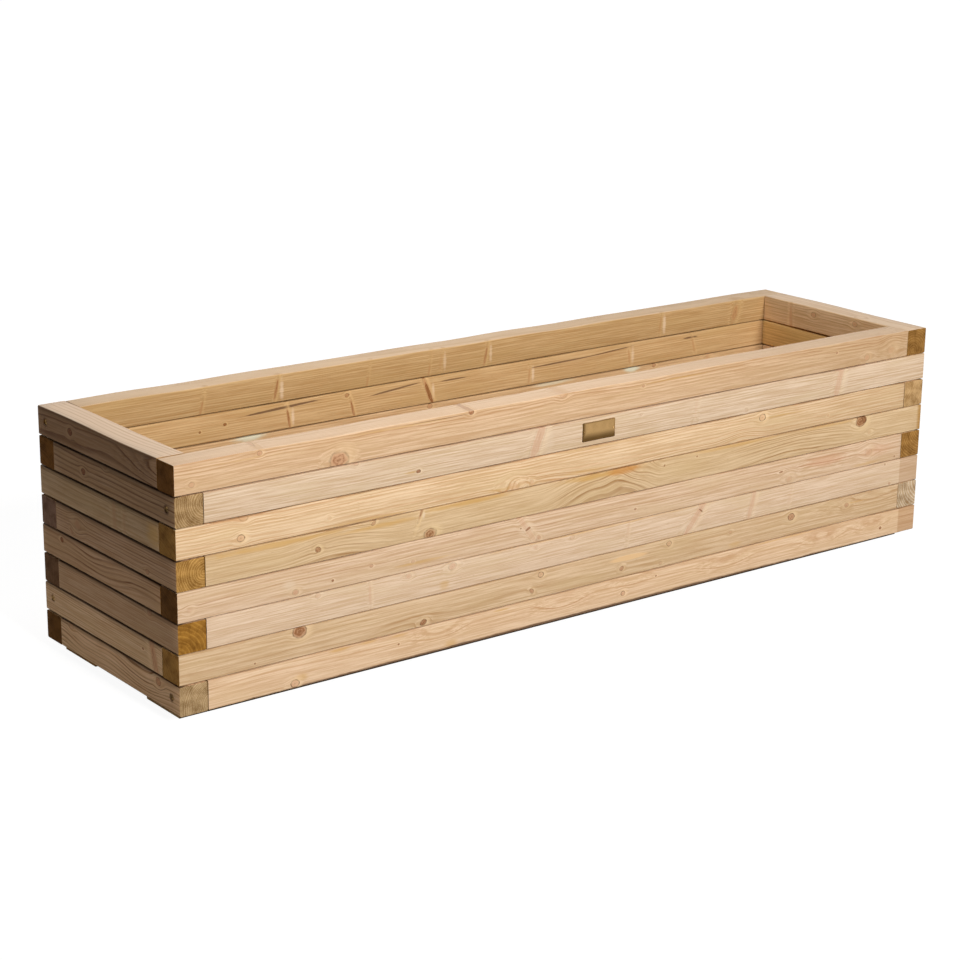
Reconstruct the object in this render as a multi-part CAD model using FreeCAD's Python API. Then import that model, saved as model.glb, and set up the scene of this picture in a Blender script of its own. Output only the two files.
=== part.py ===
"""A timber trough planter, in millimetres.

Square battens are stacked in courses. In each course the four battens chase each other round the box: every
batten runs through at one corner and butts against its neighbour at the other. The next course turns the other
way, so the corners interlock and end grain shows in every second course. Two runners under the bottom course
lift the box off the ground and carry the cross slats of the floor.

The box is nailed together upside down, so that no nail shows on the rim: each course is nailed through its
underside into the course above it, at the four corner laps and in the middle of the long walls. Screws through
the end walls draw the butt joints of the outer courses together.

The origin is on the ground under the middle of the box. X runs along the planter, Y from front to back, Z up.
"""

import FreeCAD, Part
import math
import os

# Overall plan size and the number of courses
planter_length = 1500.0
planter_width = 400.0
course_count = 8

# Wall battens, with their long edges eased
batten_height = 46.0
batten_thickness = 46.0
batten_arris_radius = 3.0

# Runners under the bottom course, along the long walls
runner_width = 95.0
runner_thickness = 15.0
runner_overlap_width = 18.0
runner_end_inset = 15.0

# Floor slats, laid across the runners between the walls
slat_width = 95.0
slat_thickness = 15.0
slat_least_gap = 10.0
slat_side_clearance = 2.0

# Bevel on the long edges of the runners and slats
board_bevel = 1.5

# Cut nails that tie each course to the one above it
course_nail_head_width = 7.0
course_nail_tip_width = 4.0
course_nail_thickness = 3.5
course_nail_bite_share = 0.6
course_nail_offset_share = 0.24
course_nail_stagger = 30.0

# Cut nails that hold the runners up against the bottom course
runner_nail_head_width = 6.0
runner_nail_tip_width = 3.5
runner_nail_thickness = 3.0
runner_nail_bite_share = 0.6
runner_nail_length_shares = (-0.36, -0.12, 0.12, 0.36)
runner_nail_width_share = 0.7

# Cut nails that hold the slats down on the runners
slat_nail_head_width = 5.0
slat_nail_tip_width = 3.0
slat_nail_thickness = 2.5
slat_nail_bite_share = 0.8

# Countersunk screws through the end walls, in so many courses at the rim and as many at the runners
end_screw_shank = 5.0
end_screw_head = 9.5
end_screw_bite = 44.0
end_screw_course_count = 2

# Blank brass plate near the middle of the front, so many courses down from the rim, and its raised-head pins
plate_width = 65.0
plate_height = 30.0
plate_thickness = 1.2
plate_corner_radius = 1.5
plate_course_count_down = 1
plate_from_middle = 6.0
pin_shank = 1.4
pin_head = 3.2
pin_head_rise = 0.8
pin_crown_share = 0.5
pin_bite = 11.0
pin_edge_distance = 3.0

# Screws and pins are drawn many-sided. Room round every fastener, and how far cutting tools run past a face
fastener_side_count = 8
fastener_clearance = 0.1
cut_overrun = 1.0

# Worked out from the sizes above
inner_length = planter_length - 2 * batten_thickness
inner_width = planter_width - 2 * batten_thickness
runner_length = planter_length - 2 * runner_end_inset
runner_outer_edge = inner_width / 2 + runner_overlap_width
runner_inner_edge = runner_outer_edge - runner_width
slat_count = math.floor((inner_length - slat_least_gap) / (slat_width + slat_least_gap))
slat_gap = (inner_length - slat_count * slat_width) / (slat_count + 1)
slat_length = inner_width - 2 * slat_side_clearance
slat_top = runner_thickness + slat_thickness

# The walls, and the two neighbours that each meets: at its low end and at its high end
LONG_SIDES = ("front", "back")
NEIGHBOURS = {
    "front": ("left", "right"),
    "back": ("left", "right"),
    "left": ("front", "back"),
    "right": ("front", "back"),
}

ALONG = FreeCAD.Vector(1, 0, 0)
BACKWARD = FreeCAD.Vector(0, 1, 0)
UP = FreeCAD.Vector(0, 0, 1)
DOWN = FreeCAD.Vector(0, 0, -1)


class Fastener:
    """A nail, screw or pin in its place, with the hole it needs and the two pieces that it joins."""

    def __init__(self, form, head_at, direction, through, into):
        """Turns a (solid, hole) form drawn along +Z to a direction, with its head at a point."""
        place = FreeCAD.Placement(head_at, FreeCAD.Rotation(UP, direction)).toMatrix()
        solid, hole = form
        self.solid = solid.transformed(place)
        self.hole = hole.transformed(place)
        self.joins = (through, into)


def moved(shape, offset):
    """A copy of a shape, shifted by a vector."""
    return shape.transformed(FreeCAD.Placement(offset, FreeCAD.Rotation()).toMatrix())


def turned(shape, axis, degrees):
    """A copy of a shape, turned about an axis through the origin."""
    return shape.transformed(FreeCAD.Placement(FreeCAD.Vector(), FreeCAD.Rotation(axis, degrees)).toMatrix())


def bar_on_x(length, width, height):
    """A square-edged bar along X, centred on the origin."""
    corner = FreeCAD.Vector(-length / 2, -width / 2, -height / 2)
    return Part.makeBox(length, width, height, corner)


def edges_along(solid, axis):
    """The straight edges of a box that run along one of its axes."""
    limit = math.cos(math.pi / 4)
    return [edge for edge in solid.Edges if abs(edge.tangentAt(edge.FirstParameter).dot(axis)) > limit]


def many_sided(stations):
    """A solid about Z through regular polygons, each given as its radius and height."""
    wires = []
    for radius, height in stations:
        corners = []
        for step in range(fastener_side_count + 1):
            angle = 2 * math.pi * step / fastener_side_count
            corners.append(FreeCAD.Vector(radius * math.cos(angle), radius * math.sin(angle), height))
        wires.append(Part.makePolygon(corners))
    return Part.makeLoft(wires, True, True)


def tapered_bar(head_width, tip_width, thickness, start, length):
    """A flat bar along Z that tapers from its head at 0 to its tip, drawn from a start at or before 0."""
    start_width = head_width + (tip_width - head_width) * start / length
    points = [
        FreeCAD.Vector(-start_width / 2, -thickness / 2, start),
        FreeCAD.Vector(start_width / 2, -thickness / 2, start),
        FreeCAD.Vector(tip_width / 2, -thickness / 2, length),
        FreeCAD.Vector(-tip_width / 2, -thickness / 2, length),
    ]
    return Part.Face(Part.makePolygon(points + points[:1])).extrude(FreeCAD.Vector(0, thickness, 0))


def cut_nail(head_width, tip_width, thickness, length):
    """A cut nail with a blunt tip, and its hole."""
    grown = 2 * fastener_clearance
    nail = tapered_bar(head_width, tip_width, thickness, 0, length)
    sizes = (head_width + grown, tip_width + grown, thickness + grown)
    return nail, tapered_bar(*sizes, -cut_overrun, length + fastener_clearance)


def countersunk_screw(head, shank, length):
    """A countersunk screw with its head flush, and its hole."""
    flare = (head - shank) / 2
    screw = many_sided([(head / 2, 0), (shank / 2, flare), (shank / 2, length)])
    mouth = head / 2 + fastener_clearance
    bore = shank / 2 + fastener_clearance
    hole = many_sided([(mouth, -cut_overrun), (mouth, 0), (bore, flare), (bore, length + fastener_clearance)])
    return screw, hole


def raised_head_pin(head, crown_share, rise, shank, length):
    """A pin whose bevelled head stands on a face at 0, and its hole."""
    dome = many_sided([(crown_share * head / 2, -rise), (head / 2, 0)])
    pin = dome.fuse(many_sided([(shank / 2, 0), (shank / 2, length)]))
    bore = shank / 2 + fastener_clearance
    return pin, many_sided([(bore, -cut_overrun), (bore, length + fastener_clearance)])


def course_bottom(course):
    """The height of the underside of a course, counted from 1 at the bottom."""
    return runner_thickness + (course - 1) * batten_height


def runs_through_low(side, course):
    """Whether a batten runs through at its low end: left for a long wall, front for an end wall."""
    turned_as_top_course = (course_count - course) % 2 == 0
    return turned_as_top_course == (side in ("front", "right"))


def batten_ends(side, course):
    """The low and the high end of a wall batten along its own axis."""
    half = (planter_length if side in LONG_SIDES else planter_width) / 2
    if runs_through_low(side, course):
        return -half, half - batten_thickness
    return -half + batten_thickness, half


def lap_neighbour(side, course):
    """The wall that meets a batten at the corner where the batten runs through."""
    low_neighbour, high_neighbour = NEIGHBOURS[side]
    return low_neighbour if runs_through_low(side, course) else high_neighbour


def butt_neighbour(side, course):
    """The wall whose batten runs past the butt end of this one."""
    low_neighbour, high_neighbour = NEIGHBOURS[side]
    return high_neighbour if runs_through_low(side, course) else low_neighbour


def wall_line(side):
    """The middle line of a wall: its Y for a long wall, its X for an end wall."""
    span = planter_width if side in LONG_SIDES else planter_length
    distance = (span - batten_thickness) / 2
    return -distance if side in ("front", "left") else distance


def on_wall(side, along, across, height):
    """A point of a wall: along its length, across from its middle line, and above the ground."""
    if side in LONG_SIDES:
        return FreeCAD.Vector(along, wall_line(side) + across, height)
    return FreeCAD.Vector(wall_line(side) + across, along, height)


def batten_name(side, course):
    """The node name of a wall batten."""
    return f"course_{course}_{side}_batten"


def runner_name(side):
    """The node name of a runner."""
    return f"{side}_runner"


def slat_name(number):
    """The node name of a floor slat, counted from 1 at the left."""
    return f"floor_slat_{number:02d}"


def wall_battens():
    """All wall battens by node name."""
    battens = {}
    for course in range(1, course_count + 1):
        for side in NEIGHBOURS:
            low, high = batten_ends(side, course)
            bar = bar_on_x(high - low, batten_thickness, batten_height)
            batten = bar.makeFillet(batten_arris_radius, edges_along(bar, ALONG))
            if side not in LONG_SIDES:
                batten = turned(batten, UP, 90)
            middle = on_wall(side, (low + high) / 2, 0, course_bottom(course) + batten_height / 2)
            battens[batten_name(side, course)] = moved(batten, middle)
    return battens


def bevelled_board(length, width, thickness):
    """A thin board along X with its long edges bevelled."""
    bar = bar_on_x(length, width, thickness)
    return bar.makeChamfer(board_bevel, edges_along(bar, ALONG))


def facing(side):
    """The sign of Y on the side of a long wall."""
    return -1 if side == "front" else 1


def runners():
    """The two boards that the planter stands on, by node name."""
    board = bevelled_board(runner_length, runner_width, runner_thickness)
    middle = (runner_outer_edge + runner_inner_edge) / 2
    return {
        runner_name(side): moved(board, FreeCAD.Vector(0, facing(side) * middle, runner_thickness / 2))
        for side in LONG_SIDES
    }


def slat_line(number):
    """The middle of a floor slat on X."""
    return -inner_length / 2 + slat_gap + slat_width / 2 + (number - 1) * (slat_width + slat_gap)


def floor_slats():
    """The cross slats of the floor by node name, evenly spaced, with drainage gaps between them."""
    board = turned(bevelled_board(slat_length, slat_width, slat_thickness), UP, 90)
    height = runner_thickness + slat_thickness / 2
    return {
        slat_name(number): moved(board, FreeCAD.Vector(slat_line(number), 0, height))
        for number in range(1, slat_count + 1)
    }


def course_nails():
    """Nails up through each course into the next one: at the corner laps, and in the middle of the long walls."""
    length = (1 + course_nail_bite_share) * batten_height
    form = cut_nail(course_nail_head_width, course_nail_tip_width, course_nail_thickness, length)
    offset = course_nail_offset_share * batten_thickness
    nails = []
    for course in range(1, course_count):
        lean = 1 if course % 2 else -1
        height = course_bottom(course)
        for side in NEIGHBOURS:
            lap_side = lap_neighbour(side, course)
            lap_at = on_wall(side, wall_line(lap_side) + lean * offset, lean * offset, height)
            piece = batten_name(side, course)
            nails.append(Fastener(form, lap_at, UP, piece, batten_name(lap_side, course + 1)))
            if side in LONG_SIDES:
                middle_at = on_wall(side, lean * course_nail_stagger, 0, height)
                nails.append(Fastener(form, middle_at, UP, piece, batten_name(side, course + 1)))
    return nails


def end_screws():
    """Screws through the end walls into the butt ends of the long battens, in the outer courses."""
    form = countersunk_screw(end_screw_head, end_screw_shank, batten_thickness + end_screw_bite)
    at_runners = list(range(1, end_screw_course_count + 1))
    at_rim = [course_count + 1 - course for course in at_runners]
    screws = []
    for course in at_runners + at_rim:
        height = course_bottom(course) + batten_height / 2
        for side in LONG_SIDES:
            end_side = butt_neighbour(side, course)
            outward = -1 if end_side == "left" else 1
            head_at = FreeCAD.Vector(outward * planter_length / 2, wall_line(side), height)
            end_batten = batten_name(end_side, course)
            screws.append(Fastener(form, head_at, ALONG * -outward, end_batten, batten_name(side, course)))
    return screws


def runner_nails():
    """Nails up through the runners: along the long walls, and into the end walls."""
    length = runner_thickness + runner_nail_bite_share * batten_height
    form = cut_nail(runner_nail_head_width, runner_nail_tip_width, runner_nail_thickness, length)
    edge_line = runner_outer_edge - runner_overlap_width / 2
    inner_line = runner_outer_edge - runner_nail_width_share * runner_width
    end_line = (runner_length + inner_length) / 4
    nails = []
    for side in LONG_SIDES:
        spots = [(share * planter_length, edge_line, side) for share in runner_nail_length_shares]
        spots += [(-end_line, inner_line, "left"), (end_line, inner_line, "right")]
        for along, across, wall in spots:
            head_at = FreeCAD.Vector(along, facing(side) * across, 0)
            nails.append(Fastener(form, head_at, UP, runner_name(side), batten_name(wall, 1)))
    return nails


def slat_nails():
    """One nail at each end of each slat, down into the runner."""
    length = slat_thickness + slat_nail_bite_share * runner_thickness
    form = cut_nail(slat_nail_head_width, slat_nail_tip_width, slat_nail_thickness, length)
    line = (runner_inner_edge + slat_length / 2) / 2
    nails = []
    for number in range(1, slat_count + 1):
        for side in LONG_SIDES:
            head_at = FreeCAD.Vector(slat_line(number), facing(side) * line, slat_top)
            nails.append(Fastener(form, head_at, DOWN, slat_name(number), runner_name(side)))
    return nails


def plate_middle():
    """The middle of the plate's back, on the front face."""
    course = course_count - plate_course_count_down
    return FreeCAD.Vector(plate_from_middle, -planter_width / 2, course_bottom(course) + batten_height / 2)


def brass_plate():
    """The blank plate, standing on the front face."""
    bar = Part.makeBox(plate_width, plate_thickness, plate_height)
    plate = bar.makeFillet(plate_corner_radius, edges_along(bar, BACKWARD))
    return moved(plate, plate_middle() - FreeCAD.Vector(plate_width / 2, plate_thickness, plate_height / 2))


def plate_pins():
    """Two pins through the plate into the batten behind it."""
    length = plate_thickness + pin_bite
    form = raised_head_pin(pin_head, pin_crown_share, pin_head_rise, pin_shank, length)
    batten = batten_name("front", course_count - plate_course_count_down)
    reach = plate_width / 2 - pin_edge_distance
    pins = []
    for sign in (-1, 1):
        head_at = plate_middle() + FreeCAD.Vector(sign * reach, -plate_thickness, 0)
        pins.append(Fastener(form, head_at, BACKWARD, "brass_plate", batten))
    return pins


def build():
    """Every node's shape by name, with the fasteners' holes cut in the pieces that they join."""
    pieces = {**wall_battens(), **runners(), **floor_slats(), "brass_plate": brass_plate()}
    groups = {
        "course_nails": course_nails(),
        "end_screws": end_screws(),
        "runner_nails": runner_nails(),
        "slat_nails": slat_nails(),
        "plate_pins": plate_pins(),
    }
    holes = {name: [] for name in pieces}
    for fasteners in groups.values():
        for fastener in fasteners:
            for name in fastener.joins:
                holes[name].append(fastener.hole)
    nodes = {name: piece.cut(holes[name]) for name, piece in pieces.items()}
    for name, fasteners in groups.items():
        nodes[name] = Part.makeCompound([fastener.solid for fastener in fasteners])
    return nodes


def main():
    """Writes one STEP file for each node."""
    os.makedirs("parts", exist_ok=True)
    for name, shape in build().items():
        solids = shape.Solids
        whole = solids[0] if len(solids) == 1 else Part.makeCompound(solids)
        whole.exportStep(os.path.join("parts", f"{name}.step"))
    print(f"{course_count} courses and {slat_count} slats, with gaps of {slat_gap:.2f} mm")


main()
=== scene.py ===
"""Trough planter of stacked timber battens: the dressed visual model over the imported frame."""
import logging
import math
import random
from collections.abc import Callable
from dataclasses import dataclass, field, replace
from enum import Enum
from functools import partial, reduce
from typing import ClassVar

import bmesh
import bpy
from mathutils import Matrix, Quaternion, Vector


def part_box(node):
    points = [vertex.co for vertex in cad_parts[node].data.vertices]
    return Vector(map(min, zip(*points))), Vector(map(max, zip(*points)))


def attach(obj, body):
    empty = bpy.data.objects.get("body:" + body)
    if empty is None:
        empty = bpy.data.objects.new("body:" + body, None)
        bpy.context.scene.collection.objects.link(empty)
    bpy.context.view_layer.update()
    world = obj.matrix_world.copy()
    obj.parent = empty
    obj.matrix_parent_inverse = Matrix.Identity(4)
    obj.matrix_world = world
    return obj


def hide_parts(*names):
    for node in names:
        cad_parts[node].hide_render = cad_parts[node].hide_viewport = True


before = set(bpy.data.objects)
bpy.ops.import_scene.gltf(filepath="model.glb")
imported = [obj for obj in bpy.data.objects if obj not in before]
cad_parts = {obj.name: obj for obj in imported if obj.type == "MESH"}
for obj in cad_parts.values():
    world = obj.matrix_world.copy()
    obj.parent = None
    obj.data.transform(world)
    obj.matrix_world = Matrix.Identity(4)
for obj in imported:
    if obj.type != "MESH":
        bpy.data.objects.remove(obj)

LOG = logging.getLogger("trough_planter")
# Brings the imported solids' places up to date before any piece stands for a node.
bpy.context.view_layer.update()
# One millimetre in metres.
MM = 0.001
WHITE = (1.0, 1.0, 1.0, 1.0)

Rgb = tuple[int, int, int]
Colour = tuple[float, float, float, float]
Pair = tuple[float, float]
Triple = tuple[float, float, float]
Socket = bpy.types.NodeSocket
Sockets = dict[str, Socket]
Inputs = dict[str | int, object]
Masks = dict[str, object]


def half_height(node: str) -> float:
    """Half the height of a node, in mm."""
    low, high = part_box(node)
    return round((high.z - low.z) / 2 / MM, 3)


# Where the faces of a batten lie, in mm from its middle.
FACE = half_height("course_1_front_batten")
# Half the thickness of a floor board or a runner, in mm.
HALF_BOARD = half_height("front_runner")


def paint(rgb: Rgb) -> Colour:
    """Turns a colour as the eye reads it into the renderer's linear colour.

    Args:
        rgb: Red, green and blue from 0 to 255.

    Returns:
        The linear colour with full alpha.
    """
    linear = []
    for channel in rgb:
        part = channel / 255.0
        linear.append(part / 12.92 if part <= 0.04045 else ((part + 0.055) / 1.055) ** 2.4)
    return (*linear, 1.0)


def shade(rgb: Rgb, by: Triple) -> Rgb:
    """Darkens or warms a colour, channel by channel."""
    return tuple(max(0, min(255, round(channel * part))) for channel, part in zip(rgb, by))


class Tone(Enum):
    """How much darker or paler each feature is than the ground that it lies on, channel by channel."""

    STREAK = (0.875, 0.812, 0.725)
    SHEEN = (1.05, 1.06, 1.085)
    SHADOW = (0.955, 0.945, 0.89)
    BLOND = (1.035, 1.04, 1.06)
    FLECK = (0.72, 0.62, 0.50)
    # The pale halo round a knot, partly a painted highlight on its +x side.
    HALO = (1.05, 1.05, 1.02)
    PINK_FLESH = (0.92, 0.83, 0.79)
    RED_FLESH = (0.63, 0.44, 0.30)
    BARK = (0.44, 0.31, 0.22)
    # The colour of the dirt and painted shade along the long edges.
    DIRT = (0.20, 0.14, 0.08)
    # The colour of the grime and painted shade under the joints of an end wall.
    SOOT = (0.24, 0.17, 0.11)
    PALE_END = (1.34, 1.42, 1.62)
    DEEP_END = (0.66, 0.59, 0.46)
    PIT = (0.6, 0.56, 0.5)
    SCUFF = (0.985, 0.985, 0.985)

    def on(self, ground: Rgb) -> Colour:
        """The feature's colour on a ground of this colour."""
        return paint(shade(ground, self.value))


class Side(Enum):
    """The wall that a batten lies in."""

    FRONT = "front"
    BACK = "back"
    LEFT = "left"
    RIGHT = "right"

    @property
    def crosswise(self) -> bool:
        """True for the short end walls, whose battens run front to back."""
        return self in (Side.LEFT, Side.RIGHT)

    @property
    def inward(self) -> float:
        """The sign of the way into the trough, across the batten."""
        return 1.0 if self in (Side.FRONT, Side.RIGHT) else -1.0

    @property
    def way_in(self) -> float:
        """The sign of the way into the trough from an end wall, from left to right."""
        return 1.0 if self is Side.LEFT else -1.0


class EndTone(Enum):
    """Colours that the sawn ends have taken from the preservative."""

    OLIVE = (177, 142, 95)
    GOLD = (178, 133, 70)
    AMBER = (162, 114, 47)
    ASH = (178, 147, 104)
    HONEY = (208, 166, 114)
    PALE = (207, 175, 138)
    UMBER = (163, 118, 61)
    BROWN = (126, 84, 42)
    TAR = (101, 67, 33)
    SMOKE = (135, 104, 84)
    DUSK = (112, 82, 58)


class MarkKind(Enum):
    """Long marks that lie in the grain, with the colour of each."""

    SAPWOOD = (206, 160, 90)
    BLUSH = (212, 158, 124)
    # Pale bands next to spikes and knots: partly paler wood, partly painted highlights where raised grain
    # would catch the light.
    BLEACH = (228, 203, 174)
    BLOOM = (206, 216, 196)
    RESIN = (200, 140, 78)
    POCKET = (228, 188, 138)
    # Dark resin streaks; on front course 1 it also lies as a painted shadow along the bottom edge.
    PITCH = (98, 70, 50)

    @property
    def crisp(self) -> float:
        """How far out the mark keeps its full strength, as a part of its half length."""
        return 0.72 if self in (MarkKind.PITCH, MarkKind.POCKET) else 0.25


class Wiring:
    """Adds nodes to one node tree and joins them."""

    def __init__(self, tree: bpy.types.NodeTree) -> None:
        """Keeps the tree that the nodes go into."""
        self.tree = tree

    @classmethod
    def fresh(cls, owner: bpy.types.Material | bpy.types.World) -> "Wiring":
        """Empties the nodes of a material or a world.

        Args:
            owner: The material or world.

        Returns:
            Its wiring.
        """
        owner.use_nodes = True
        owner.node_tree.nodes.clear()
        return cls(owner.node_tree)

    def node(self, kind: str, inputs: Inputs | None = None, **settings: object) -> bpy.types.Node:
        """Adds one node.

        Args:
            kind: The node's type.
            inputs: What its sockets take, by name or place: an output socket or a plain value.
            **settings: The node's own options.

        Returns:
            The new node.
        """
        made = self.tree.nodes.new(kind)
        for key, value in settings.items():
            setattr(made, key, value)
        for key, value in (inputs or {}).items():
            if isinstance(value, Socket):
                self.tree.links.new(value, made.inputs[key])
            else:
                made.inputs[key].default_value = value
        return made

    def math(self, operation: str, first: object, second: object = 0.0) -> Socket:
        """Adds one sum on numbers and gives its result."""
        return self.node("ShaderNodeMath", {0: first, 1: second}, operation=operation).outputs[0]

    def times(self, *values: object) -> Socket:
        """Multiplies numbers in turn."""
        return reduce(partial(self.math, "MULTIPLY"), values)

    def plus(self, *values: object) -> Socket:
        """Adds numbers up in turn."""
        return reduce(partial(self.math, "ADD"), values)

    def most(self, *values: object) -> Socket:
        """Gives the largest of some numbers."""
        return reduce(partial(self.math, "MAXIMUM"), values)

    def less(self, first: object, second: object) -> Socket:
        """Takes the second number from the first."""
        return self.math("SUBTRACT", first, second)

    def vector(self, operation: str, first: object, second: object = None, scale: object = None) -> Socket:
        """Adds one sum on vectors.

        Args:
            operation: The vector sum to do.
            first: The first vector.
            second: The second vector, where the sum takes one.
            scale: The factor of a SCALE.

        Returns:
            The vector, or the number of a LENGTH or DOT_PRODUCT.
        """
        given = {0: first, 1: second, "Scale": scale}
        inputs = {key: value for key, value in given.items() if value is not None}
        made = self.node("ShaderNodeVectorMath", inputs, operation=operation)
        return made.outputs["Value" if operation in ("LENGTH", "DOT_PRODUCT") else "Vector"]

    def split(self, point: Socket) -> tuple[Socket, Socket, Socket]:
        """Parts a vector into its three numbers."""
        return tuple(self.node("ShaderNodeSeparateXYZ", {0: point}).outputs)

    def ramp(self, value: object, start: object, end: object, low: object = 0.0,
             high: object = 1.0) -> Socket:
        """Adds a smooth step from low at start to high at end."""
        inputs = {"Value": value, "From Min": start, "From Max": end, "To Min": low, "To Max": high}
        return self.node("ShaderNodeMapRange", inputs, interpolation_type="SMOOTHSTEP").outputs[0]

    def noise(self, point: object, scale: float | Triple, detail: float = 2.0, rough: float = 0.5,
              shift: object = None) -> Socket:
        """Adds a soft cloud of values about one half.

        Args:
            point: Where it is read.
            scale: How fast it changes, all ways alike or each way by itself.
            detail: How many finer clouds lie on it.
            rough: How strong those are.
            shift: Moves it after the scaling, where given.

        Returns:
            The cloud's value.
        """
        if isinstance(scale, tuple):
            point, scale = self.vector("MULTIPLY", point, scale), 1.0
        if shift is not None:
            point = self.vector("ADD", point, shift)
        inputs = {"Vector": point, "Scale": scale, "Detail": detail, "Roughness": rough}
        return self.node("ShaderNodeTexNoise", inputs, noise_dimensions="3D").outputs[0]

    def sway(self, *cloud: object, **more: object) -> Socket:
        """Adds the same cloud about zero."""
        return self.less(self.noise(*cloud, **more), 0.5)

    def mix(self, factor: object, first: object, second: object, blend: str = "MIX") -> Socket:
        """Adds a mix of two colours."""
        settings = {"data_type": "RGBA", "blend_type": blend, "clamp_factor": True}
        return self.node("ShaderNodeMix", {0: factor, 6: first, 7: second}, **settings).outputs[2]

    def ruler(self, place: Socket, shift: Triple = (0.0, 0.0, 0.0), turn: float = 0.0) -> Socket:
        """Adds the place on a piece in mm.

        Args:
            place: The place in metres.
            shift: Moves it, in mm.
            turn: Turns it first about the upright way, in radians.

        Returns:
            The place in mm.
        """
        inputs = {"Vector": place, "Location": shift, "Rotation": (0.0, 0.0, turn), "Scale": (1 / MM,) * 3}
        return self.node("ShaderNodeMapping", inputs).outputs[0]

    def surface(self, kind: str, inputs: Inputs) -> None:
        """Ends a material with its shader."""
        self.node("ShaderNodeOutputMaterial", {"Surface": self.node(kind, inputs).outputs[0]})


Draw = Callable[[Wiring, Sockets], Sockets]


@dataclass
class Effect:
    """A shared shader node group, drawn once and placed in each material with its own values."""

    VECTORS: ClassVar[list[str]] = (
        "Point Centre Branch Half Lift Pith Lean Shift Slope Normal Grain Brush".split())

    name: str
    inputs: list[str]
    outputs: list[str]
    draw: Draw
    tree: bpy.types.NodeTree | None = None

    def place(self, net: Wiring, inputs: dict[str, object]) -> Sockets:
        """Places the group in a material.

        Args:
            net: The material's wiring.
            inputs: What the group's sockets take, by name.

        Returns:
            Its outputs, by name.
        """
        if self.tree is None:
            self._build()
        made = net.node("ShaderNodeGroup", inputs, node_tree=self.tree)
        return {socket.name: socket for socket in made.outputs}

    def _build(self) -> None:
        """Makes the group's sockets and draws what is inside."""
        self.tree = bpy.data.node_groups.new(self.name, "ShaderNodeTree")
        for way, labels in (("INPUT", self.inputs), ("OUTPUT", self.outputs)):
            for label in labels:
                kind = "NodeSocketVector" if label in self.VECTORS else "NodeSocketFloat"
                self.tree.interface.new_socket(name=label, in_out=way, socket_type=kind)
        net = Wiring(self.tree)
        entry = net.node("NodeGroupInput").outputs
        net.node("NodeGroupOutput", self.draw(net, {label: entry[label] for label in self.inputs}))


def effect(inputs: str, outputs: str) -> Callable[[Draw], Effect]:
    """Makes a shared effect, with these sockets, of the function that draws it."""
    return lambda draw: Effect(draw.__name__, inputs.split(), outputs.split(), draw)


@effect("Point Core Rim Halo Centre Branch Radius Depth Reach Edge Fill", "Point Core Rim Halo")
def timber_knot(net: Wiring, given: Sockets) -> Sockets:
    """A branch through the timber: it bends the grain round itself and leaves a core, a rim and a halo, whose
    stronger +x side is a painted highlight.

    Args:
        net: The group's wiring.
        given: Its inputs.

    Returns:
        Its outputs.
    """
    offset = net.vector("SUBTRACT", given["Point"], given["Centre"])
    run = net.vector("DOT_PRODUCT", offset, given["Branch"])
    radial = net.vector("SUBTRACT", offset, net.vector("SCALE", given["Branch"], scale=run))
    oval = net.vector("MULTIPLY", radial, (0.80, 1.0, 1.0))
    distance = net.math("DIVIDE", net.vector("LENGTH", oval), given["Radius"])
    ragged = net.sway(given["Point"], 0.13)
    edge = net.plus(distance, net.times(ragged, 0.42))
    turns = net.math("SINE", net.plus(net.times(edge, 15.0), net.times(ragged, 7.0)))
    strands = net.ramp(net.noise(radial, 0.42, 3.0, 0.6), 0.30, 0.70, 0.80, 1.08)
    grown = net.times(net.plus(net.times(turns, 0.12), 0.88), strands)
    inner = net.math("MINIMUM", net.plus(net.times(given["Edge"], 0.50), 0.30), 0.85)
    core = net.times(net.ramp(edge, inner, 1.08, 1.0, 0.0), grown, given["Depth"], given["Fill"])
    band = net.ramp(net.math("ABSOLUTE", net.less(edge, 0.94)), 0.02, 0.19, 1.0, 0.0)
    heart = net.times(net.ramp(edge, 0.02, 0.30, 1.0, 0.0), 0.40)
    broken = net.ramp(net.noise(given["Point"], 0.17, 1.0), 0.40, 0.60, 0.50, 1.0)
    rim = net.times(net.most(band, heart), given["Edge"], given["Depth"], broken)
    # The halo is stronger towards +x: a painted highlight, as if the raised wood round the knot caught the
    # light from the right.
    side = net.ramp(net.math("DIVIDE", net.split(radial)[0], given["Radius"]), -1.6, 1.6, 0.2, 1.0)
    halo = net.times(net.ramp(edge, 1.0, 2.5, 1.0, 0.0), side, given["Depth"])
    pull = net.times(net.ramp(distance, 0.4, given["Reach"], 1.0, 0.0), 0.80)
    return {
        "Point": net.vector("SUBTRACT", given["Point"], net.vector("SCALE", radial, scale=pull)),
        "Core": net.most(given["Core"], core),
        "Rim": net.most(given["Rim"], rim),
        "Halo": net.most(given["Halo"], halo),
    }


@effect("Point Rise Centre Half Lift", "Point Rise")
def grain_swell(net: Wiring, given: Sockets) -> Sockets:
    """A rise in the grain over a buried branch, which the growth lines arch over.

    Args:
        net: The group's wiring.
        given: Its inputs.

    Returns:
        Its outputs.
    """
    offset = net.vector("DIVIDE", net.vector("SUBTRACT", given["Point"], given["Centre"]), given["Half"])
    rise = net.ramp(net.vector("LENGTH", offset), 0.0, 1.0, 1.0, 0.0)
    lifted = net.vector("SUBTRACT", given["Point"], net.vector("SCALE", given["Lift"], scale=rise))
    return {"Point": lifted, "Rise": net.most(given["Rise"], rise)}


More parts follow.
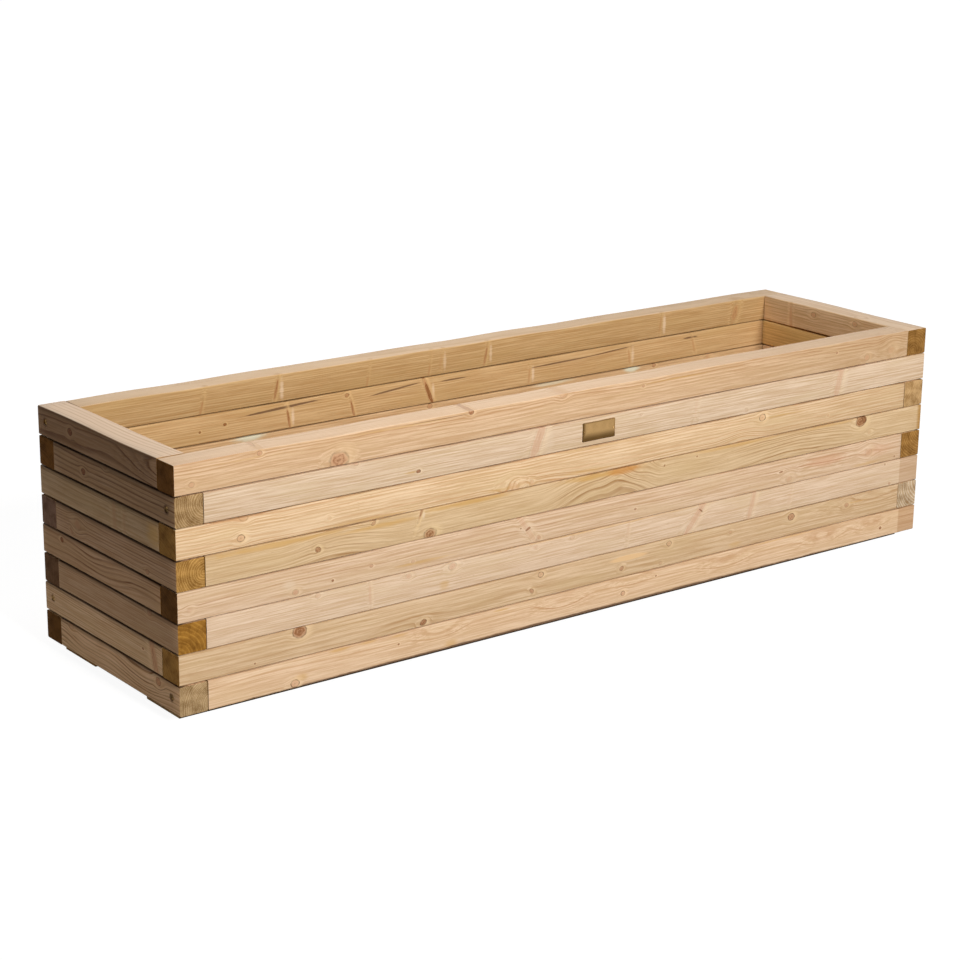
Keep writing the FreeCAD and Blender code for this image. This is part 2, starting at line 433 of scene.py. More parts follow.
@effect("Point Pith Lean Width Wander", "Late Tone")
def growth_rings(net: Wiring, given: Sockets) -> Sockets:
    """Growth rings about a leaning pith: soft early wood that darkens into a sharp late-wood line.

    Args:
        net: The group's wiring.
        given: Its inputs.

    Returns:
        Its outputs.
    """
    point, pith = given["Point"], given["Pith"]
    leaned = net.vector("SCALE", given["Lean"], scale=net.split(point)[0])
    offset = net.vector("SUBTRACT", net.vector("SUBTRACT", point, pith), leaned)
    distance = net.vector("LENGTH", net.vector("MULTIPLY", offset, (0.0, 1.0, 1.0)))
    drift = net.times(net.sway(point, (0.0045, 0.016, 0.016), 3.0, 0.55, pith), given["Wander"])
    ripple = net.times(net.sway(point, (0.016, 0.05, 0.05), shift=pith), 1.4)
    years = net.math("DIVIDE", net.plus(distance, net.plus(drift, ripple)), given["Width"])
    cloud = {"W": years, "Scale": 0.31, "Detail": 1.0}
    uneven = net.node("ShaderNodeTexNoise", cloud, noise_dimensions="1D").outputs[0]
    years = net.plus(years, net.times(uneven, 1.7))
    part = net.math("FRACT", years)
    late = net.times(net.ramp(part, 0.40, 0.84), net.ramp(part, 0.92, 1.0, 1.0, 0.0))
    year = net.node("ShaderNodeTexWhiteNoise", {"W": net.math("FLOOR", years)}, noise_dimensions="1D")
    return {"Late": late, "Tone": year.outputs["Value"]}


@effect("Point Shift", "Streak Fleck Cloud")
def wood_fibre(net: Wiring, given: Sockets) -> Sockets:
    """The long fibres of the planed face, with short dark flecks and slow changes of tone.

    Args:
        net: The group's wiring.
        given: Its inputs.

    Returns:
        Its outputs.
    """
    point, shift = given["Point"], given["Shift"]
    return {
        "Streak": net.noise(point, (0.011, 0.50, 0.50), 5.0, 0.68, shift),
        "Fleck": net.ramp(net.noise(point, (0.11, 1.3, 1.3), 1.0, shift=shift), 0.67, 0.78),
        "Cloud": net.noise(point, (0.0075, 0.035, 0.035), 3.0, 0.55, shift),
    }


@effect("Point Mask Centre Half Slope Depth Crisp", "Mask")
def grain_mark(net: Wiring, given: Sockets) -> Sockets:
    """One long ragged mark in the grain, added to the marks before it.

    Args:
        net: The group's wiring.
        given: Its inputs.

    Returns:
        Its outputs.
    """
    offset = net.vector("SUBTRACT", given["Point"], given["Centre"])
    offset = net.vector("SUBTRACT", offset, net.vector("SCALE", given["Slope"], scale=net.split(offset)[0]))
    offset = net.vector("DIVIDE", offset, given["Half"])
    loose = net.less(1.5, net.times(given["Crisp"], 1.3))
    ragged = net.times(net.sway(given["Point"], (0.03, 0.22, 0.22), 3.0, 0.6), loose)
    body = net.ramp(net.plus(net.vector("LENGTH", offset), ragged), given["Crisp"], 1.08, 1.0, 0.0)
    return {"Mask": net.most(given["Mask"], net.times(body, given["Depth"]))}


@effect("Normal Grain", "End Top")
def surface_way(net: Wiring, given: Sockets) -> Sockets:
    """Which way the surface looks: a sawn end, or a top, which is paled partly by sun and rain and partly as
    a painted sheen.

    Args:
        net: The group's wiring.
        given: Its inputs.

    Returns:
        Its outputs.
    """
    end = net.math("ABSOLUTE", net.vector("DOT_PRODUCT", given["Normal"], given["Grain"]))
    top = net.vector("DOT_PRODUCT", given["Normal"], (0.0, 0.0, 1.0))
    return {"End": net.ramp(end, 0.70, 0.92), "Top": net.ramp(top, 0.55, 0.97)}


@effect("Point", "Ripple Teeth")
def tool_marks(net: Wiring, given: Sockets) -> Sockets:
    """The marks of the planer's knives along the grain and of the saw on the ends.

    Args:
        net: The group's wiring.
        given: Its inputs.

    Returns:
        Its outputs.
    """
    along, across, up = net.split(given["Point"])
    knife_pitch = 3.1
    wave = net.math("SINE", net.times(along, math.tau / knife_pitch))
    patch = net.ramp(net.noise(given["Point"], (0.008, 0.03, 0.03), 1.0), 0.42, 0.66)
    slant = net.plus(across, net.times(up, 0.72))
    wander = net.times(net.noise(given["Point"], 0.07, 1.0), 9.0)
    teeth = net.math("SINE", net.plus(net.times(slant, 3.1), wander))
    return {"Ripple": net.times(wave, patch), "Teeth": net.plus(net.times(teeth, 0.5), 0.5)}


@effect("Point Half", "Dirt")
def arris_dirt(net: Wiring, given: Sockets) -> Sockets:
    """Dirt and painted shade along the long edges of a batten or board, where the joints lie, broken up along
    the grain.

    Args:
        net: The group's wiring.
        given: Its inputs.

    Returns:
        Its outputs.
    """
    _, across, up = net.split(net.vector("DIVIDE", given["Point"], given["Half"]))
    near = net.math("MINIMUM", net.math("ABSOLUTE", across), net.math("ABSOLUTE", up))
    cloud = net.noise(given["Point"], (0.035, 0.2, 0.2), 3.0, 0.6)
    return {"Dirt": net.times(net.ramp(near, 0.955, 0.975), net.ramp(cloud, 0.30, 0.62, 0.55, 1.0))}


@effect("Point Brush", "Brushed Tarnish Pits")
def metal_wear(net: Wiring, given: Sockets) -> Sockets:
    """Handling marks on metal: fine brushing, tarnish clouds and pits.

    Args:
        net: The group's wiring.
        given: Its inputs.

    Returns:
        Its outputs.
    """
    return {
        "Brushed": net.noise(net.vector("MULTIPLY", given["Point"], given["Brush"]), 1.0, 3.0, 0.65),
        "Tarnish": net.ramp(net.noise(given["Point"], 0.05, 3.0), 0.34, 0.68),
        "Pits": net.ramp(net.noise(given["Point"], 1.7), 0.60, 0.76),
    }


@dataclass(frozen=True)
class Knot:
    """One branch in a piece of timber, in mm: its place on the face, its size and the way it ran."""

    along: float
    up: float
    radius: float
    depth: float = 0.7
    branch: Triple = (0.16, 1.0, 0.1)
    reach: float = 3.2
    out: float = -FACE
    edge: float = 1.0
    fill: float = 1.0

    def grow(self, net: Wiring, masks: Masks) -> Sockets:
        """Strings the branch after those before it, and gives the bent point and the masks."""
        return timber_knot.place(net, {
            **masks, "Centre": (self.along, self.out, self.up), "Branch": Vector(self.branch).normalized(),
            "Radius": self.radius, "Depth": self.depth, "Reach": self.reach, "Edge": self.edge,
            "Fill": self.fill})


@dataclass(frozen=True)
class Swell:
    """One rise of the grain, in mm: its middle, its half size and how far it lifts and deepens lines."""

    along: float
    up: float
    half_length: float
    half_up: float
    lift: float
    deepen: float = 0.0
    out: float = -FACE
    half_out: float = 90.0

    def raise_grain(self, net: Wiring, masks: Masks) -> Sockets:
        """Lifts the grain's point over the rise, and gives it with the rise's mask."""
        return grain_swell.place(net, {
            "Point": masks["Point"], "Rise": masks["Rise"], "Centre": (self.along, self.out, self.up),
            "Half": (self.half_length, self.half_out, self.half_up), "Lift": (0.0, self.deepen, self.lift)})


@dataclass(frozen=True)
class Mark:
    """One long mark in the grain, in mm: resin, golden sapwood, a paler patch that is partly a painted
    highlight, or a painted shadow along a bottom edge.
    """

    kind: MarkKind
    along: float
    up: float
    half_length: float
    half_width: float
    depth: float = 0.6
    out: float = -FACE
    half_out: float = 14.0
    slope: float = 0.0

    def stain(self, net: Wiring, point: Socket, mask: object) -> Socket:
        """Adds the mark to a mask of marks of its kind."""
        return grain_mark.place(net, {
            "Point": point, "Mask": mask, "Centre": (self.along, self.out, self.up),
            "Half": (self.half_length, self.half_out, self.half_width), "Slope": (0.0, 0.0, self.slope),
            "Depth": self.depth, "Crisp": self.kind.crisp})["Mask"]


@dataclass(frozen=True)
class Soak:
    """A darkening of the wood from a place along the wall outwards, in mm: over a short fade an end that has
    drunk preservative and dried darker, over a long one a slow darkening across the right half.
    """

    start: float
    fade: float
    tint: Rgb
    depth: float = 0.7

    def darken(self, net: Wiring, point: Socket, colour: Socket) -> Socket:
        """Darkens the wood towards the end.

        Args:
            net: The material's wiring.
            point: The place in the timber, in mm.
            colour: The wood's colour so far.

        Returns:
            The colour, darker towards the end.
        """
        near, way = abs(self.start), math.copysign(1.0, self.start)
        darkened = net.ramp(net.times(net.split(point)[0], way), near, near + self.fade, 0.0, self.depth)
        return net.mix(darkened, colour, paint(self.tint), "MULTIPLY")


def spike(along: float, lean: float, radius: float, depth: float, up: float = 0.0,
          out: float = -FACE) -> Knot:
    """A branch cut along its length, which shows as a slanting streak over the face.

    Args:
        along: Its place along the wall in mm.
        lean: How far it slants along the wall for each mm up.
        radius: Half its width in mm.
        depth: How strongly it shows.
        up: Its middle over the batten's own, in mm.
        out: The face that it lies in, in mm across the batten.

    Returns:
        The knot.
    """
    return Knot(along, up, radius, depth, branch=(lean, 0.12, 1.0), reach=2.4, out=out, edge=0.25)


@dataclass(frozen=True)
class Timber:
    """Planed, pressure-treated softwood, cut from a log at its own place and dressed with its own knots.

    Lengths are in mm. The pith lies across and up from the middle. The heart is another pith for the sawn
    ends, with its own ring width. Bold is two heights and the share that growth lines have at the first.
    """

    tint: Rgb
    line: Rgb
    contrast: float
    ring: float
    pith: Pair
    lean: Pair
    wander: float
    end: EndTone
    end_lines: float
    seed: float
    knots: tuple[Knot, ...] = ()
    marks: tuple[Mark, ...] = ()
    soaks: tuple[Soak, ...] = ()
    swells: tuple[Swell, ...] = ()
    bold: Triple = (-60.0, -50.0, 1.0)
    heart: Triple | None = None
    # How strong the grime and painted shade under each joint of an end wall's outer face are; the sign picks
    # the face.
    soot: float = 0.0
    gain: float = 2.0
    # The two colours of the paled top, partly sun-bleaching and partly a painted sheen.
    bleached: tuple[Rgb, Rgb] = ((224, 198, 171), (206, 176, 146))

    def facing(self, out: float) -> "Timber":
        """The same timber with its knots, marks and swells on the face at this place across it.

        Args:
            out: The face, in mm across the batten.

        Returns:
            The timber.
        """
        turned = {}
        for name in ("knots", "marks", "swells"):
            turned[name] = tuple(replace(item, out=out) for item in getattr(self, name))
        return replace(self, **turned)

    def material(self, name: str, middle: Vector, crosswise: bool, half: Triple,
                 bleach: float) -> bpy.types.Material:
        """Makes the finish of one piece.

        Args:
            name: The material's name.
            middle: The middle of the piece's section in metres; the along place stays the trough's own.
            crosswise: True where the grain runs front to back.
            half: Half the section in mm, along, across and up.
            bleach: How far its top is paled, partly by sun and rain and partly as a painted sheen.

        Returns:
            The material.
        """
        made = bpy.data.materials.new(name)
        net = Wiring.fresh(made)
        place = net.node("ShaderNodeTexCoord").outputs
        shift = (0.0, (middle.x if crosswise else -middle.y) / MM, -middle.z / MM)
        point = net.ruler(place["Object"], shift, -math.pi / 2 if crosswise else 0.0)
        masks = self._bent(net, point)
        colour, height = self._grain(net, point, masks, half)
        grain = (0.0, 1.0, 0.0) if crosswise else (1.0, 0.0, 0.0)
        ways = surface_way.place(net, {"Normal": place["Normal"], "Grain": grain})
        # Pales the faces that look up: partly sun-bleaching, partly a painted sheen.
        if bleach:
            pale = net.mix(net.ramp(height, 0.06, 0.20), *map(paint, self.bleached))
            colour = net.mix(net.times(ways["Top"], bleach), colour, pale)
        colour, height = self._ends(net, point, masks["Point"], ways["End"], colour, height)
        bump = net.node("ShaderNodeBump", {"Strength": 0.40, "Distance": 0.0006, "Height": height})
        dry = net.plus(ways["End"], net.times(masks["Core"], -0.4))
        net.surface("ShaderNodeBsdfPrincipled", {
            "Base Color": colour, "Roughness": net.ramp(dry, -0.4, 1.0, 0.58, 0.88),
            "Specular IOR Level": 0.03, "Normal": bump.outputs[0]})
        return made

    def _bent(self, net: Wiring, point: Socket) -> Masks:
        """Strings the knots and the swells one after another.

        Args:
            net: The material's wiring.
            point: The place in the timber, in mm.

        Returns:
            The bent point with the core, rim, halo and rise masks.
        """
        masks: Masks = {"Point": point, "Core": 0.0, "Rim": 0.0, "Halo": 0.0}
        for knot in self.knots:
            masks = knot.grow(net, masks)
        masks["Rise"] = 0.0
        for swell in self.swells:
            masks.update(swell.raise_grain(net, masks))
        return masks

    def _rings(self, net: Wiring, point: Socket, pith: Triple) -> Sockets:
        """Places this log's growth rings about a pith, whose third number is the rings' width."""
        return growth_rings.place(net, {
            "Point": point, "Pith": (self.seed, *pith[:2]), "Lean": (0.0, *self.lean), "Width": pith[2],
            "Wander": self.wander})

    def _grain(self, net: Wiring, point: Socket, masks: Masks, half: Triple) -> tuple[Socket, Socket]:
        """Colours the planed faces.

        Args:
            net: The material's wiring.
            point: The place in the timber, in mm.
            masks: The bent point and the knots' masks.
            half: Half the section in mm.

        Returns:
            The colour and the height of the surface.
        """
        rings = self._rings(net, masks["Point"], (*self.pith, self.ring))
        fibre = wood_fibre.place(net, {"Point": masks["Point"], "Shift": (self.seed, 0.3 * self.seed, 7.0)})
        depth = net.times(rings["Late"], net.plus(net.times(rings["Tone"], 0.7), 0.3))
        start, end, share = self.bold
        strength = net.ramp(net.split(point)[2], start, end, share * self.contrast, self.contrast)
        strength = net.times(strength, net.ramp(masks["Rise"], 0.0, 0.8, 1.0, self.gain))
        colour = net.mix(net.times(depth, strength), paint(self.tint), paint(self.line))
        for cloud, low, high, most, tone in (
                ("Streak", 0.38, 0.70, 0.85, Tone.STREAK), ("Streak", 0.52, 0.28, 0.70, Tone.SHEEN),
                ("Cloud", 0.44, 0.80, 0.60, Tone.SHADOW), ("Cloud", 0.50, 0.22, 0.45, Tone.BLOND)):
            colour = net.mix(net.ramp(fibre[cloud], low, high, 0.0, most), colour, tone.on(self.tint))
        colour = net.mix(net.times(fibre["Fleck"], 0.35), colour, Tone.FLECK.on(self.tint))
        colour = self._knotted(net, masks, self._marked(net, point, colour))
        colour = self._soiled(net, point, fibre["Cloud"], half, colour)
        ripple = tool_marks.place(net, {"Point": point})["Ripple"]
        height = net.plus(
            net.times(depth, 0.12), net.times(fibre["Streak"], 0.14), net.times(ripple, 0.10),
            net.times(masks["Halo"], 0.60))
        return colour, net.less(height, net.times(masks["Rim"], 0.35))

    def _marked(self, net: Wiring, point: Socket, colour: Socket) -> Socket:
        """Lays the long marks on the faces, kind by kind, and darkens the wood towards the ends.

        Args:
            net: The material's wiring.
            point: The place in the timber, in mm.
            colour: The faces' colour so far.

        Returns:
            The colour with the marks.
        """
        for kind in MarkKind:
            marks = [mark for mark in self.marks if mark.kind is kind]
            if marks:
                mask = reduce(lambda mask, mark: mark.stain(net, point, mask), marks, 0.0)
                colour = net.mix(mask, colour, paint(kind.value))
        for darkening in self.soaks:
            colour = darkening.darken(net, point, colour)
        return colour

    def _knotted(self, net: Wiring, masks: Masks, colour: Socket) -> Socket:
        """Colours the knots: a pale halo that is partly a painted highlight, pink or red flesh and a rim of
        bark.

        Args:
            net: The material's wiring.
            masks: The knots' masks.
            colour: The faces' colour so far.

        Returns:
            The colour with the knots.
        """
        core = masks["Core"]
        colour = net.mix(net.times(masks["Halo"], 0.75), colour, Tone.HALO.on(self.tint))
        pink, red = Tone.PINK_FLESH.on(self.tint), Tone.RED_FLESH.on(self.tint)
        flesh = net.mix(net.ramp(core, 0.45, 0.95), pink, red)
        colour = net.mix(net.ramp(core, 0.0, 0.62, 0.0, 0.88), colour, flesh)
        return net.mix(net.times(masks["Rim"], 0.95), colour, Tone.BARK.on(self.tint))

    def _soiled(self, net: Wiring, point: Socket, cloud: Socket, half: Triple, colour: Socket) -> Socket:
        """Darkens the long edges with dirt and painted shade, and the outer face of an end wall under each
        joint with grime and painted shade.

        Args:
            net: The material's wiring.
            point: The place in the timber, in mm.
            cloud: The slow changes of tone, which break up the grime and painted shade.
            half: Half the section in mm.
            colour: The faces' colour so far.

        Returns:
            The colour with the dirt and the painted shade.
        """
        # The long edges darken partly with dirt and partly with painted shade in the joints between battens.
        dirt_and_shade = arris_dirt.place(net, {"Point": point, "Half": half})["Dirt"]
        colour = net.mix(dirt_and_shade, colour, Tone.DIRT.on(self.tint))
        if not self.soot:
            return colour
        # The veil under each top edge and the seam at each joint are partly grime and partly painted shade on
        # an end wall's outer face.
        _, across, up = net.split(point)
        top, foot = half[2], -half[2]
        outer = net.ramp(net.times(across, math.copysign(1.0, self.soot)), 6.0, 20.0)
        streaked = net.plus(up, net.times(net.less(cloud, 0.5), 9.0))
        veil = net.times(net.ramp(streaked, top - 11.0, top - 1.0), 0.55)
        seam = net.most(net.ramp(up, top - 3.6, top - 1.8), net.ramp(up, foot + 2.2, foot + 0.8))
        grimed_and_shaded = net.times(net.most(veil, seam), net.times(outer, abs(self.soot)))
        return net.mix(grimed_and_shaded, colour, Tone.SOOT.on(self.tint))

    def _ends(self, net: Wiring, point: Socket, bent: Socket, end: Socket, colour: Socket,
              height: Socket) -> tuple[Socket, Socket]:
        """Gives the sawn ends their rings.

        Args:
            net: The material's wiring.
            point: The place in the timber, in mm.
            bent: The same, bent round the knots.
            end: The mask of the ends.
            colour: The faces' colour so far.
            height: The faces' height so far.

        Returns:
            The colour and height with the ends.
        """
        late = self._rings(net, bent, self.heart or (*self.pith, self.ring))["Late"]
        teeth = tool_marks.place(net, {"Point": point})["Teeth"]
        pale, deep = Tone.PALE_END.on(self.end.value), Tone.DEEP_END.on(self.end.value)
        cloud = net.noise(point, (0.02, 0.045, 0.045), 3.0, 0.6)
        sawn = net.mix(net.ramp(cloud, 0.40, 0.66, 0.0, 0.75), paint(self.end.value), deep)
        lines = net.times(late, net.ramp(cloud, 0.62, 0.36, 0.45, 1.0))
        sawn = net.mix(net.times(lines, self.end_lines), sawn, pale)
        specks = net.ramp(net.noise(point, (0.2, 0.75, 0.75), 2.0, 0.6), 0.54, 0.70)
        sawn = net.mix(net.times(specks, 0.75 * self.end_lines), sawn, pale)
        sawn = net.mix(net.times(teeth, 0.40), sawn, deep)
        raised = net.less(net.plus(net.times(late, 0.5), net.times(teeth, 0.4)), height)
        return net.mix(end, colour, sawn), net.plus(height, net.times(raised, end))


@dataclass(frozen=True)
class MetalFinish:
    """A worn metal: its colours, its brushing, and the heights and border in mm where it darkens, partly with
    tarnish and partly as a painted reflection.
    """

    bright: Rgb
    tarnish: Rgb
    brush: Triple
    rough: Pair
    metallic: float = 1.0
    tarnish_depth: float = 0.7
    settle: Pair | None = None
    border: tuple[float, float, float, float] | None = None

    def material(self, name: str) -> bpy.types.Material:
        """Makes the metal.

        Args:
            name: The material's name.

        Returns:
            The material.
        """
        made = bpy.data.materials.new(name)
        net = Wiring.fresh(made)
        point = net.ruler(net.node("ShaderNodeTexCoord").outputs["Object"])
        wear = metal_wear.place(net, {"Point": point, "Brush": self.brush})
        dull = self._dulled(net, point, wear)
        colour = net.mix(dull, paint(self.bright), paint(self.tarnish))
        colour = net.mix(net.times(wear["Pits"], 0.5), colour, Tone.PIT.on(self.tarnish))
        rough = net.ramp(net.plus(wear["Brushed"], wear["Tarnish"]), 0.3, 1.6, *self.rough)
        height = net.less(net.times(wear["Brushed"], 0.5), wear["Pits"])
        bump = net.node("ShaderNodeBump", {"Strength": 0.35, "Distance": 0.0002, "Height": height})
        net.surface("ShaderNodeBsdfPrincipled", {
            "Base Color": colour, "Roughness": rough, "Metallic": self.metallic, "Normal": bump.outputs[0]})
        return made

    def _dulled(self, net: Wiring, point: Socket, wear: Sockets) -> Socket:
        """Gathers the tarnish in clouds, and darkens the metal low down and along the border, partly with
        tarnish and partly as a painted reflection.

        Args:
            net: The material's wiring.
            point: The place on the piece, in mm.
            wear: The handling marks.

        Returns:
            How dark the metal is, with tarnish and painted reflection.
        """
        dull = net.times(wear["Tarnish"], self.tarnish_depth)
        across, _, up = net.split(point)
        if self.settle:
            drift = net.plus(up, net.times(wear["Brushed"], 4.0))
            dull = net.most(dull, net.ramp(drift, *self.settle, 1.0, 0.0))
        if self.border:
            left, right, low, high = self.border
            dull = net.most(
                dull, net.ramp(across, left + 9.0, left), net.ramp(across, right - 3.0, right, 0.0, 0.6),
                net.ramp(up, low + 2.5, low, 0.0, 0.8), net.ramp(up, high - 3.5, high, 0.0, 0.6))
        return dull


AGED_BRASS = MetalFinish(
    bright=(182, 146, 96), tarnish=(98, 72, 38), brush=(0.04, 1.2, 1.2), rough=(0.28, 0.46),
    tarnish_depth=0.30)
ZINC_STEEL = MetalFinish(
    bright=(150, 118, 66), tarnish=(56, 41, 24), brush=(0.7, 0.7, 0.7), rough=(0.42, 0.70),
    tarnish_depth=0.85)
BLACK_IRON = MetalFinish(
    bright=(74, 68, 62), tarnish=(48, 36, 28), brush=(0.8, 0.8, 0.8), rough=(0.45, 0.75), metallic=0.85)


